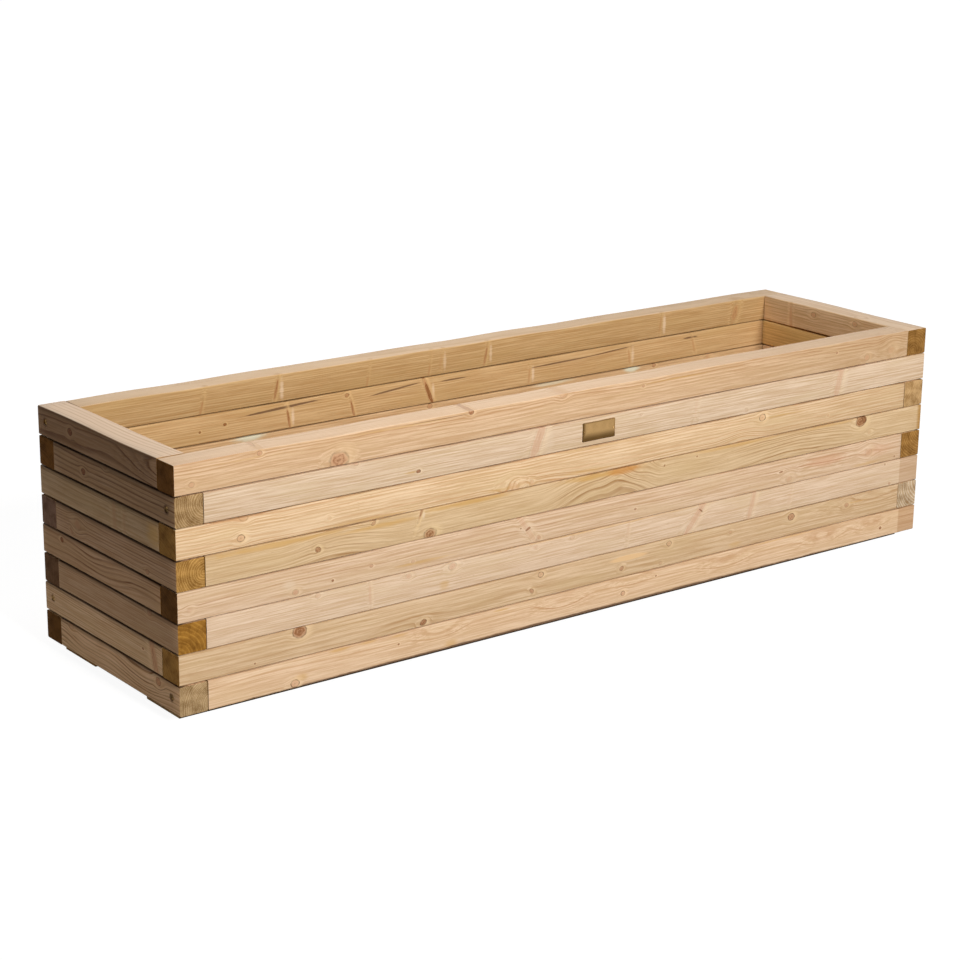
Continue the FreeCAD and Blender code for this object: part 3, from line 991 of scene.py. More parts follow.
def front_stock() -> dict[int, Timber]:
    """The eight battens of the front wall, as picked, by course from the ground."""
    gold, dark_streak, pale = MarkKind.SAPWOOD, MarkKind.PITCH, MarkKind.BLEACH
    return {
        8: Timber(
            (228, 193, 155), (176, 115, 62), contrast=1.0, ring=3.6, pith=(58, -58), lean=(0.003, 0.002),
            wander=12, end=EndTone.BROWN, end_lines=0.3, seed=3.1, bold=(-12, 12, 0.45),
            knots=(
                Knot(-722, -10, 4, 0.4), Knot(-480, -15, 13, 0.74, (0.5, 1.0, 0.1), 2.4, edge=0.5),
                Knot(-612, 17, 3.5, 0.6), Knot(-243, 20, 4, 0.9), Knot(-66, 21, 6, 0.3),
                Knot(97, 11, 2.2, 0.6), Knot(530, 6, 1.8, 0.8), Knot(604, -12, 5.5, 0.45, edge=0.5),
                Knot(664, -7, 8, 0.3, reach=4.5, edge=0.3)),
            marks=(
                Mark(gold, 170, 14, 80, 2.2, 0.5), Mark(gold, -640, 12, 60, 2, 0.4),
                Mark(gold, -380, 17, 130, 2, 0.45), Mark(dark_streak, -300, 18, 60, 0.8, 0.4)),
            # Slowly darker over the right half, towards the right end.
            soaks=(Soak(1.0, 700, (239, 238, 234), 1.0),)),
        7: Timber(
            (229, 203, 173), (192, 147, 112), contrast=0.85, ring=4.2, pith=(22, -96), lean=(0.004, 0.004),
            wander=12, end=EndTone.PALE, end_lines=0.4, seed=11.7,
            knots=(
                Knot(-340, -9, 2.8, 1.0, (0.75, 1.0, 0.0)), spike(-115, 0.4, 8.5, 0.52),
                spike(538, 0.26, 7, 0.46), spike(212, 0.1, 4, 0.22, 10), Knot(-450, 21, 3.5, 0.4),
                Knot(94, 11, 2, 0.3), Knot(324, -16, 3, 0.25)),
            marks=(
                # The pale marks just right of the spikes here are painted highlights.
                Mark(gold, -352, -9, 16, 2.2, 0.6), Mark(pale, -92, 0, 12, 24, 0.4),
                Mark(pale, 554, 0, 10, 24, 0.5))),
        6: Timber(
            (236, 205, 165), (198, 137, 84), contrast=0.95, ring=4, pith=(48, -84), lean=(-0.003, 0.003),
            wander=13, end=EndTone.UMBER, end_lines=0.35, seed=21.3,
            knots=(
                Knot(-645, -9, 5.2, 0.9, edge=1.0, fill=0.5), Knot(-497, -7, 3, 0.35, edge=0.5),
                Knot(-162, -17, 8, 0.36, (0.9, 1.0, 0.0), 3.6, edge=0.4),
                Knot(362, 11, 6, 0.85, edge=1.0, fill=0.5), Knot(-640, 21, 6, 0.3), Knot(517, -9, 2, 0.5),
                Knot(-127, -16, 4, 0.4, edge=0.6)),
            marks=(
                Mark(gold, -10, -17, 70, 4, 0.45), Mark(gold, -175, -18, 50, 4, 0.45),
                Mark(gold, 20, 19, 160, 2, 0.4), Mark(gold, 405, 9, 60, 1.8, 0.6),
                Mark(gold, -420, -20, 120, 2, 0.5)),
            # Slowly darker over the right half, towards the right end.
            soaks=(Soak(1.0, 700, (243, 242, 241), 1.0),),
            swells=(Swell(320, -20, 70, 34, 8), Swell(-110, -20, 90, 30, 7))),
        5: Timber(
            (221, 191, 150), (150, 99, 50), contrast=0.42, ring=3.7, pith=(34, -60), lean=(0.004, -0.004),
            wander=12, end=EndTone.GOLD, end_lines=0.5, seed=33.9, bold=(-40, 6, 0.7), gain=3.2,
            knots=(
                Knot(-517, -4, 4, 0.85, (0.5, 1.0, -0.3)),
                Knot(-318, -18, 9, 0.9, (0.35, 1.0, 0.2), 2.2, edge=0.55), spike(-334, 0.4, 2.6, 0.95, 18),
                Knot(96, 25, 7, 0.5, reach=7, edge=0.3),
                Knot(598, 14, 9.5, 1.0, (0.35, 1.0, 0.1), 2.6, edge=0.8),
                Knot(602, 15, 2.4, 1.0, reach=1.6), Knot(146, 11, 1.7, 0.9), Knot(218, 14, 1.5, 0.8),
                Knot(-420, 17, 2.6, 0.7, (0.9, 1.0, 0.8)), Knot(621, -9, 4.5, 0.35, edge=0.3)),
            marks=(
                Mark(gold, -580, 17, 150, 6, 0.66), Mark(gold, -400, 12, 90, 5, 0.62),
                Mark(gold, -250, 19, 110, 5, 0.7), Mark(gold, 10, 17, 100, 6, 0.75),
                Mark(MarkKind.RESIN, 62, 17, 52, 7, 0.8), Mark(gold, 300, 19, 130, 4, 0.55),
                Mark(gold, 520, 19, 90, 3, 0.45), Mark(pale, -330, 14, 4, 7, 0.8)),
            soaks=(Soak(738, 8, (214, 186, 128), 0.8),),
            swells=(
                Swell(10, 0, 125, 70, 28), Swell(76, 0, 72, 70, 24), Swell(440, -4, 200, 60, 14),
                Swell(-480, 0, 110, 50, 9))),
        4: Timber(
            (226, 196, 164), (172, 118, 78), contrast=0.95, ring=4.2, pith=(50, -72), lean=(0.002, 0.003),
            wander=10, end=EndTone.TAR, end_lines=0.4, seed=45.1, bold=(-14, 6, 0.5),
            knots=(
                Knot(-730, -6, 4, 0.3, edge=0.3), Knot(-556, -15, 4.4, 0.6, edge=0.6),
                Knot(-492, -10, 1.8, 1.0), Knot(-424, -1, 2.6, 0.65), Knot(-349, -9, 2.6, 0.4),
                spike(-132, -0.75, 6, 0.36), Knot(-132, 1, 1.1, 0.9, (2, 1.0, -1.2)),
                Knot(-142, 7, 1.2, 0.9), Knot(-112, -18, 4, 0.6, edge=0.6), Knot(88, -6, 1.9, 0.8),
                Knot(410, 1, 1.6, 0.9, (2.4, 1.0, 0.5)), Knot(430, -14, 6, 0.34, reach=4, edge=0.4),
                Knot(622, 2, 7, 0.36, reach=4, edge=0.4), Knot(689, -17, 1.8, 0.8)),
            marks=(
                Mark(gold, -330, -12, 70, 3, 0.5), Mark(pale, -132, 3, 18, 12, 0.5),
                Mark(pale, -566, -2, 14, 10, 0.5), Mark(gold, 620, -18, 40, 4, 0.4),
                Mark(MarkKind.BLUSH, 515, 4, 60, 12, 0.45), Mark(MarkKind.BLUSH, 640, 2, 50, 12, 0.35)),
            swells=(Swell(515, 4, 90, 26, 5, 5),)),
        3: Timber(
            (226, 199, 170), (197, 152, 117), contrast=0.6, ring=3, pith=(6, -130), lean=(0.0, 0.003),
            wander=8, end=EndTone.PALE, end_lines=0.3, seed=57.7,
            knots=(
                Knot(-357, 16, 4.5, 0.45, edge=0.5), Knot(-276, 15, 6, 0.5, (0.5, 1.0, 0.2), edge=0.6),
                Knot(-116, 15, 4, 0.34, edge=0.5), spike(-426, -0.06, 2.6, 0.4, -4),
                spike(218, 0.85, 7, 0.52), Knot(230, 13, 1.1, 1.0), spike(346, 0.28, 5.5, 0.46),
                spike(434, 0.2, 3, 0.22, -6), Knot(-42, 17, 4, 0.28), spike(74, 0.12, 2.6, 0.3, 6),
                Knot(666, 18, 1.8, 0.7), Knot(680, -19, 2.4, 0.6), Knot(-518, 18, 4, 0.3)),
            marks=(
                Mark(gold, -290, -12, 12, 11, 0.4), Mark(gold, 0, 21, 300, 2, 0.4),
                Mark(pale, 200, -12, 20, 8, 0.4)),
            soaks=(Soak(703, 2.5, (226, 212, 200), 0.65),)),
        2: Timber(
            (216, 186, 149), (172, 128, 82), contrast=0.6, ring=3.9, pith=(90, -62), lean=(0.002, 0.004),
            wander=9, end=EndTone.UMBER, end_lines=0.35, seed=63.2,
            knots=(
                Knot(-550, 16, 9.6, 1.0, (0.05, 1.0, 0.12), 2.4, edge=0.7),
                Knot(-330, -17, 4, 0.95, (0.9, 1.0, 0.4)), Knot(-104, 14, 4.6, 0.9, edge=1.0, fill=0.45),
                Knot(-122, -9, 3, 0.72, (0.7, 1.0, -0.8)), Knot(62, -9, 3.4, 0.72, (0.6, 1.0, 0.5)),
                Knot(163, 14, 4.4, 0.88, edge=1.0, fill=0.45),
                Knot(441, 9, 6.2, 0.95, (0.1, 1.0, 0.05), edge=1.0, fill=0.8),
                Knot(575, 6, 4, 0.62, reach=5), Knot(300, 8, 3, 0.4), Knot(146, -16, 3, 0.35),
                Knot(-626, -16, 1.3, 0.9)),
            marks=(
                Mark(dark_streak, -549, 20, 5, 2.4, 0.9), Mark(MarkKind.POCKET, 76, 7, 42, 5, 0.75),
                Mark(gold, 310, -15, 20, 6, 0.35), Mark(gold, 600, 8, 40, 2, 0.4)),
            swells=(Swell(640, 8, 170, 26, 0.0, 12), Swell(-350, -12, 90, 26, 6))),
        1: Timber(
            (227, 195, 160), (182, 129, 84), contrast=0.62, ring=4.4, pith=(70, -48), lean=(0.003, 0.003),
            wander=8, end=EndTone.ASH, end_lines=0.5, seed=71.4, bold=(-20, 6, 0.4),
            knots=(
                Knot(-559, -16, 6, 0.85, edge=0.9, fill=0.58), Knot(-375, 4, 1.5, 1.0),
                Knot(67, -6, 3.8, 1.0, edge=1.0, fill=0.55), Knot(137, 10, 1.6, 0.9),
                Knot(664, -6, 2.4, 1.0), Knot(545, -2, 3, 0.25)),
            marks=(
                Mark(gold, -480, 19, 24, 3, 0.6), Mark(gold, -430, 19, 20, 3, 0.5),
                Mark(gold, -375, 18, 20, 3, 0.5), Mark(gold, -548, -9, 14, 8, 0.45),
                Mark(gold, -278, -16, 16, 9, 0.45), Mark(gold, -180, 18, 22, 2, 0.55),
                # The last mark below, a long dark band at the foot, is a painted shadow under the bottom
                # edge, where the runner lies in shade.
                Mark(gold, 430, 20, 90, 2, 0.5), Mark(dark_streak, -20, -24.5, 760, 6.2, 0.88)),
            soaks=(Soak(707, 3, (222, 207, 194), 0.7),),
            swells=(
                Swell(-300, 8, 70, 20, 0.0, 9), Swell(-60, 4, 80, 22, 0.0, 8), Swell(85, 16, 60, 18, 6, 6),
                Swell(290, 4, 80, 22, 0.0, 8), Swell(520, 3, 80, 20, 0.0, 9), Swell(640, 5, 60, 20, 0.0, 9))),
    }


def left_stock() -> dict[int, Timber]:
    """The battens of the left end, by course from the ground, dressed on their outer face; their tints are
    darker than the front's, partly as painted shade on the end that faces away from the key lamp.
    """
    stain = MarkKind.PITCH
    stock = {
        8: Timber(
            (177, 140, 108), (84, 48, 30), contrast=1.0, ring=5, pith=(-60, -34), lean=(0.0, 0.0), wander=9,
            end=EndTone.UMBER, end_lines=0.3, seed=5.5,
            knots=(Knot(100, 2, 5.5, 1.0),),
            marks=(Mark(stain, 177, 0, 8, 8, 0.75),),
            swells=(Swell(-200, 2, 190, 34, 0.0, -22),)),
        7: Timber(
            (184, 148, 114), (92, 56, 34), contrast=1.0, ring=5.4, pith=(-30, 62), lean=(0.0, 0.004),
            wander=9, end=EndTone.OLIVE, end_lines=0.62, seed=15.5, heart=(-28, 9, 3.3),
            knots=(Knot(63, -3, 5, 1.0), Knot(-4, 20, 4, 0.4)),
            marks=(Mark(stain, -177, 0, 8, 8, 0.75),)),
        6: Timber(
            (199, 166, 129), (124, 86, 54), contrast=0.9, ring=3.9, pith=(-70, -50), lean=(0.0, 0.006),
            wander=9, end=EndTone.HONEY, end_lines=0.4, seed=25.5,
            knots=(spike(-26, 0.05, 6, 0.4), spike(-55, 0.02, 4, 0.35)),
            marks=(Mark(MarkKind.SAPWOOD, -140, 0, 26, 24, 0.5),)),
        5: Timber(
            (189, 152, 119), (104, 68, 44), contrast=0.95, ring=4.2, pith=(30, 66), lean=(0.0, 0.004),
            wander=9, end=EndTone.GOLD, end_lines=0.62, seed=35.5, heart=(-21, 0.0, 3.5),
            knots=(Knot(88, 2, 9, 0.4, edge=0.4), Knot(104, -10, 4, 0.5), Knot(-118, -14, 4, 0.5))),
        4: Timber(
            (192, 154, 119), (104, 66, 40), contrast=0.95, ring=4.6, pith=(-58, -44), lean=(0.0, 0.0),
            wander=10, end=EndTone.AMBER, end_lines=0.5, seed=45.5,
            knots=(Knot(139, 11, 4, 1.0),),
            swells=(Swell(-130, -8, 150, 40, 14), Swell(40, 6, 90, 30, -7))),
        3: Timber(
            (188, 152, 118), (126, 86, 54), contrast=0.8, ring=3.2, pith=(58, 60), lean=(0.0, 0.01),
            wander=8, end=EndTone.AMBER, end_lines=0.4, seed=55.5, heart=(27, -27, 6),
            knots=(Knot(-120, 18, 5, 0.5),)),
        2: Timber(
            (216, 179, 140), (126, 86, 52), contrast=0.9, ring=3.6, pith=(-20, -90), lean=(0.0, 0.004),
            wander=9, end=EndTone.HONEY, end_lines=0.4, seed=65.5,
            knots=(spike(-130, 0.3, 8, 0.7), Knot(-98, 3, 1.8, 0.9, (1.5, 1.0, 0))),
            marks=(Mark(stain, 177, 0, 7, 7, 0.5),)),
        1: Timber(
            (217, 178, 139), (112, 74, 44), contrast=0.95, ring=4.4, pith=(-36, 70), lean=(0.0, 0.006),
            wander=12, end=EndTone.ASH, end_lines=0.55, seed=75.5, heart=(-31, -12, 2.7),
            knots=(Knot(-140, 12, 6, 0.75), Knot(120, 18, 5, 0.4)),
            marks=(Mark(stain, -177, 0, 7, 7, 0.5),),
            swells=(Swell(-90, 0, 110, 40, -12), Swell(150, 4, 80, 30, 9))),
    }
    return {course: timber.facing(FACE) for course, timber in stock.items()}


def right_stock() -> dict[int, Timber]:
    """The battens of the right end whose sawn ends or inner faces show, by course from the ground; the top
    two are paler, partly as painted light on the inner face of the right wall.
    """
    return {
        8: Timber(
            (240, 205, 160), (176, 130, 80), contrast=0.66, ring=4, pith=(9, -14), lean=(0.004, 0.01),
            wander=8, end=EndTone.UMBER, end_lines=0.4, seed=8.8,
            knots=(spike(84, 0.04, 4, 0.55, -6, FACE), Knot(-74, 10, 5, 0.5, out=FACE), Knot(20, 4, 5, 0.6))),
        7: Timber(
            (227, 186, 121), (170, 124, 66), contrast=0.6, ring=4.4, pith=(60, 40), lean=(0.004, 0.01),
            wander=9, end=EndTone.HONEY, end_lines=0.4, seed=18.8,
            knots=(Knot(-60, 6, 6, 0.6),)),
        6: Timber(
            (216, 180, 138), (166, 120, 74), contrast=0.6, ring=4, pith=(62, 44), lean=(0.004, 0.01),
            wander=8, end=EndTone.HONEY, end_lines=0.22, seed=28.8,
            knots=(Knot(110, -6, 5, 0.6), Knot(-20, 12, 3, 0.5))),
        4: Timber(
            (212, 178, 138), (158, 114, 70), contrast=0.7, ring=4.2, pith=(-34, 34), lean=(0.004, 0.01),
            wander=8, end=EndTone.UMBER, end_lines=0.5, seed=48.8,
            knots=(Knot(-70, -10, 4, 0.7), Knot(60, 8, 6, 0.5))),
        2: Timber(
            (214, 180, 142), (160, 116, 74), contrast=0.7, ring=5.2, pith=(-40, 26), lean=(0.004, 0.01),
            wander=9, end=EndTone.PALE, end_lines=0.55, seed=68.8,
            knots=(Knot(30, -2, 7, 0.7), Knot(120, 14, 3, 0.6))),
    }


def back_stock() -> dict[int, Timber]:
    """The top battens of the back wall, whose inner faces show over the rim, by course from the ground; their
    darker, yellower tints are partly painted shade inside the trough.
    """
    dark_streak, pale = MarkKind.PITCH, MarkKind.BLEACH
    return {
        8: Timber(
            (188, 154, 108), (138, 100, 56), contrast=0.66, ring=3.4, pith=(10, -110), lean=(0.0, 0.004),
            wander=9, end=EndTone.BROWN, end_lines=0.4, seed=9.9,
            knots=(
                spike(-497, 0.25, 2.4, 0.6, -14), spike(-360, 0.22, 2.8, 0.8),
                spike(-186, 0.2, 2.2, 0.5, -14), spike(-62, 0.15, 2.2, 0.5, -12),
                spike(-38, 0.15, 2.6, 0.3), spike(56, 0.2, 2.8, 0.75), spike(448, 0.12, 2.4, 0.5),
                Knot(630, -2, 7, 0.62, (0.5, 0.6, 1.6), 2.4, edge=0.3)),
            marks=(
                # The pale marks just right of the spikes are painted highlights.
                Mark(pale, -350, -4, 5, 22, 0.5), Mark(pale, 66, 0, 4, 20, 0.4),
                Mark(pale, 457, 0, 5, 22, 0.5), Mark(pale, -30, -2, 4, 20, 0.35))),
        7: Timber(
            (195, 160, 114), (146, 108, 62), contrast=0.62, ring=3.6, pith=(30, -90), lean=(0.0, 0.004),
            wander=9, end=EndTone.BROWN, end_lines=0.4, seed=19.9,
            knots=(
                spike(-338, -0.16, 2.6, 0.85, -6), spike(-216, -0.26, 2.6, 0.8, -6),
                spike(-64, -0.42, 4.2, 1.0, -2), spike(150, 0.08, 2.4, 0.5, -4),
                spike(376, -0.16, 2.4, 0.5, -2), spike(530, -0.3, 2.4, 0.5, -2), Knot(-500, -4, 1.8, 1.0),
                Knot(-455, 2, 2.6, 1.0), Knot(-226, 15, 3.4, 0.7)),
            marks=(
                Mark(dark_streak, -352, 12.5, 78, 2.2, 0.85, slope=0.045),
                Mark(dark_streak, -130, 11.5, 56, 1.7, 0.8, slope=0.085), Mark(dark_streak, -12, 11.5, 30, 1.4, 0.8),
                Mark(dark_streak, 225, 9, 84, 1.6, 0.8, slope=0.02),
                Mark(dark_streak, 335, 13, 52, 1.4, 0.8, slope=0.06), Mark(dark_streak, 522, 13, 18, 1.6, 0.9),
                # The pale marks just right of the spikes are painted highlights.
                Mark(pale, -330, -6, 4, 18, 0.5), Mark(pale, -54, -6, 4, 20, 0.5),
                Mark(pale, 384, -2, 5, 20, 0.4), Mark(pale, 158, -4, 4, 18, 0.5))),
        6: Timber(
            (194, 160, 120), (151, 112, 68), contrast=0.6, ring=3.8, pith=(40, -80), lean=(0.002, 0.004),
            wander=10, end=EndTone.HONEY, end_lines=0.5, seed=29.9,
            knots=(
                Knot(-60, 18, 4, 0.6), Knot(436, 19, 3.5, 0.7), Knot(220, -6, 6, 0.8),
                Knot(-300, -8, 5, 0.7), spike(560, 0.3, 5, 0.4)),
            marks=(
                Mark(MarkKind.BLOOM, -408, 20, 40, 9, 0.55), Mark(MarkKind.BLOOM, 384, 20, 22, 8, 0.6),
                Mark(MarkKind.BLOOM, 200, 20, 60, 4, 0.3))),
    }


class Stockpile:
    """Picks the timber for each batten: listed where a face shows, and by a seeded draw elsewhere."""

    # The strength of the grime and painted shade under the joints on the end walls' outer faces.
    SOOT = 0.85
    ENDS = {(Side.BACK, 5): EndTone.SMOKE, (Side.BACK, 3): EndTone.DUSK, (Side.BACK, 1): EndTone.TAR}
    LONG_REACH, CROSS_REACH = 720.0, 190.0
    DRAWN_TINTS = ((214, 178, 138), (220, 187, 152), (222, 187, 146), (209, 176, 135), (217, 184, 149))
    DRAWN_LINE = (0.86, 0.76, 0.62)
    DRAWN_ENDS = (EndTone.TAR, EndTone.BROWN, EndTone.UMBER, EndTone.OLIVE)
    KNOT_SPACING = 120.0
    SPIKE_SHARE = 0.3

    def __init__(self) -> None:
        """Lays out the picked battens."""
        self.picked = {
            Side.FRONT: front_stock(), Side.LEFT: left_stock(), Side.RIGHT: right_stock(),
            Side.BACK: back_stock()}

    def batten(self, side: Side, course: int) -> Timber:
        """Gives the timber of one wall batten.

        Args:
            side: Its wall.
            course: Its course, 1 at the ground.

        Returns:
            The timber.
        """
        reach = self.CROSS_REACH if side.crosswise else self.LONG_REACH
        timber = self.picked[side].get(course) or self.drawn(f"{side.value}-{course}", reach, FACE)
        timber = replace(timber, end=self.ENDS.get((side, course), timber.end))
        return replace(timber, soot=-self.SOOT * side.inward) if side.crosswise else timber

    @classmethod
    def drawn(cls, label: str, reach: float, half_up: float, dull: float = 1.0) -> Timber:
        """Draws a piece of timber from the seeded pile.

        Args:
            label: The seed.
            reach: How far the knots may lie from the middle, in mm.
            half_up: Half the piece's height in mm.
            dull: Darkens rough stock.

        Returns:
            dull: Darkens rough stock; for the runners partly as painted shade.
        """
        draw = random.Random(label)
        tint = shade(draw.choice(cls.DRAWN_TINTS), (dull, dull * 0.985, dull * 0.96))
        angle, far = draw.uniform(-2.9, 0.6), draw.uniform(35.0, 110.0)
        knots = [cls._branch(draw, reach, half_up) for _ in range(2 + int(reach / cls.KNOT_SPACING))]
        marks = [Mark(
            MarkKind.SAPWOOD, draw.uniform(-reach, reach), draw.choice((-0.8, 0.8)) * half_up,
            draw.uniform(50.0, 140.0), draw.uniform(2.5, 6.0), draw.uniform(0.3, 0.6),
            draw.choice((-FACE, FACE))) for _ in range(2)]
        return Timber(
            tint, shade(tint, cls.DRAWN_LINE), contrast=draw.uniform(0.35, 0.8), ring=draw.uniform(2.6, 4.6),
            pith=(far * math.cos(angle), far * math.sin(angle)),
            lean=(draw.uniform(-0.03, 0.03), draw.uniform(-0.01, 0.01)), wander=draw.uniform(9.0, 22.0),
            end=draw.choice(cls.DRAWN_ENDS), end_lines=draw.uniform(0.3, 0.5), knots=tuple(knots),
            marks=tuple(marks), seed=draw.uniform(0.0, 90.0))

    @classmethod
    def _branch(cls, draw: random.Random, reach: float, half_up: float) -> Knot:
        """Draws one knot, cut along its branch now and then, and across it otherwise.

        Args:
            draw: The seeded draw.
            reach: How far it may lie from the middle, in mm.
            half_up: Half the piece's height in mm.

        Returns:
            The knot.
        """
        along, up = draw.uniform(-reach, reach), draw.uniform(-0.8, 0.8) * half_up
        if draw.random() < cls.SPIKE_SHARE:
            lean, radius, depth = draw.uniform(-0.5, 0.5), draw.uniform(3.0, 6.5), draw.uniform(0.25, 0.5)
            return spike(along, lean, radius, depth, out=draw.choice((-FACE, FACE)))
        tilt = (draw.uniform(-0.5, 0.5), 1.0, draw.uniform(-0.4, 0.4))
        radius, depth = draw.uniform(1.6, 7.5), draw.uniform(0.3, 1.0)
        return Knot(along, up, radius, depth, tilt, out=draw.choice((-FACE, FACE)))


Points = list[bmesh.types.BMVert]


def block(size: Triple) -> bmesh.types.BMesh:
    """Starts a bmesh with a block about the origin.

    Args:
        size: Its length, width and height in metres.

    Returns:
        The bmesh.
    """
    made = bmesh.new()
    bmesh.ops.create_cube(made, size=1.0)
    bmesh.ops.scale(made, vec=size, verts=made.verts)
    return made


def turn(mesh: bmesh.types.BMesh, angle: float, axis: str, verts: Points | None = None) -> None:
    """Turns a bmesh, or some of its points, about an axis through the origin."""
    spun = Matrix.Rotation(angle, 3, axis)
    bmesh.ops.rotate(mesh, cent=(0.0, 0.0, 0.0), matrix=spun, verts=verts or mesh.verts)


def move(mesh: bmesh.types.BMesh, by: Triple | Vector, verts: Points | None = None) -> None:
    """Moves a bmesh, or some of its points."""
    bmesh.ops.translate(mesh, vec=by, verts=verts or mesh.verts)


def ease(mesh: bmesh.types.BMesh, edges: list[bmesh.types.BMEdge], width: float, segments: int) -> None:
    """Rounds some edges of a bmesh over."""
    bmesh.ops.bevel(
        mesh, geom=edges, offset=width, offset_type="OFFSET", segments=segments, profile=0.5, affect="EDGES",
        clamp_overlap=True, material=-1)


def smooth(mesh: bpy.types.Mesh, sharp: float) -> None:
    """Shades a mesh smooth, with its edges over an angle in degrees left crisp."""
    mesh.shade_smooth()
    mesh.set_sharp_from_angle(angle=math.radians(sharp))


def shape(source: bmesh.types.BMesh, name: str, sharp: float = 35.0) -> bpy.types.Object:
    """Turns a finished bmesh into a smooth-shaded object at the origin.

    Args:
        source: The bmesh, which is freed.
        name: The piece's name.
        sharp: The angle in degrees over which an edge stays crisp.

    Returns:
        The object, linked to the scene.
    """
    mesh = bpy.data.meshes.new(name)
    source.to_mesh(mesh)
    source.free()
    smooth(mesh, sharp)
    piece = bpy.data.objects.new(name, mesh)
    bpy.context.scene.collection.objects.link(piece)
    return piece


def cut(piece: bpy.types.Object, tool: bpy.types.Object, sharp: float = 30.0) -> None:
    """Takes a cutter's shape out of a piece, and removes the cutter.

    Args:
        piece: The piece to cut.
        tool: The cutter.
        sharp: The angle in degrees over which an edge stays crisp.
    """
    modifier = piece.modifiers.new("cut", "BOOLEAN")
    modifier.operation, modifier.solver, modifier.object = "DIFFERENCE", "EXACT", tool
    evaluated = piece.evaluated_get(bpy.context.evaluated_depsgraph_get())
    carved = bpy.data.meshes.new_from_object(evaluated)
    piece.modifiers.clear()
    smooth(carved, sharp)
    old, piece.data = piece.data, carved
    bpy.data.meshes.remove(old)
    carved.name = piece.name
    bpy.data.objects.remove(tool)


def fit(piece: bpy.types.Object, finish: bpy.types.Material, node: str) -> None:
    """Dresses a finished piece and sets it on the trough's body in place of its node.

    Args:
        piece: The piece.
        finish: Its material.
        node: The node that it stands for.
    """
    piece.data.materials.clear()
    piece.data.materials.append(finish)
    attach(piece, "root")
    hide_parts(node)
    LOG.info("%s: %d faces, stands for %s", piece.name, len(piece.data.polygons), node)


@dataclass
class TimberBar:
    """One planed bar or board: a bevelled block, cut into lengths and let to warp a little, then dressed.

    Sizes are in metres. Shy is how much the bar may fall short of its node in length, width and height.
    """

    name: str
    node: str
    slot: str
    timber: Timber
    crosswise: bool
    edge: float
    seed: str
    spans: int
    warp: float
    shy: Triple
    inward: float = 0.0
    bend: float = 0.0
    bleach: float = 0.0
    end_edge: float = 0.0006
    wave: float = 0.25
    piece: bpy.types.Object | None = None

    def place(self) -> tuple[Vector, Vector]:
        """Measures the bar's node.

        Returns:
            Its middle and its size, with the length first.
        """
        low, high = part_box(self.node)
        size = high - low
        return (low + high) / 2, Vector((size.y, size.x, size.z)) if self.crosswise else size

    def build(self) -> bpy.types.Object:
        """Shapes the bar inside its node's box.

        Returns:
            The bar's object.
        """
        middle, size = self.place()
        draw = random.Random(self.seed)
        trims = [draw.uniform(0.3, 1.0) * self.shy[0] for _ in range(2)]
        bar = block((size.x - sum(trims), size.y - self.shy[1], size.z))
        move(bar, ((trims[0] - trims[1]) / 2, 0.0, 0.0))
        ease(bar, self._long(bar, size.x), self.edge, segments=4)
        rims = [edge for edge in bar.edges if any(len(face.verts) > 4 for face in edge.link_faces)]
        ease(bar, rims, self.end_edge, segments=2)
        bmesh.ops.subdivide_edges(bar, edges=self._long(bar, size.x), cuts=self.spans, use_grid_fill=True)
        self._settle(bar, size, draw)
        if self.crosswise:
            turn(bar, math.pi / 2, "Z")
        move(bar, middle)
        self.piece = shape(bar, self.name)
        return self.piece

    @staticmethod
    def _long(bar: bmesh.types.BMesh, length: float) -> list[bmesh.types.BMEdge]:
        """The edges that run most of the bar's length."""
        return [edge for edge in bar.edges if edge.calc_length() > 0.8 * length]

    def _settle(self, bar: bmesh.types.BMesh, size: Vector, draw: random.Random) -> None:
        """Lets the top sink, the faces wave and the length bend as seasoned timber does.

        Args:
            bar: The bar, about the origin.
            size: Its full size.
            draw: The seeded draw.
        """
        waves = [(draw.uniform(2.0, 9.0), draw.uniform(0.0, 6.28)) for _ in range(4)]
        bow = draw.uniform(0.3, 1.0) * self.bend * self.inward
        for vert in bar.verts:
            along, across, up = vert.co
            swing = [0.5 + 0.5 * math.sin(pace * along / self.wave + start) for pace, start in waves]
            sink = self.shy[2] * (0.35 + 0.65 * (0.6 * swing[0] + 0.4 * swing[1]))
            pinch = self.warp * (0.6 * swing[2] + 0.4 * swing[3])
            if up > 0.0:
                vert.co.z = up - sink * up / (size.z / 2)
            vert.co.y = across * (1.0 - pinch / (size.y / 2)) + bow * (1.0 - (2.0 * along / size.x) ** 2)

    def dress(self) -> None:
        """Gives the bar its timber and sets it on the trough."""
        middle, size = self.place()
        half = tuple(size / 2 / MM)
        finish = self.timber.material(self.name + "_timber", middle, self.crosswise, half, self.bleach)
        fit(self.piece, finish, self.node)


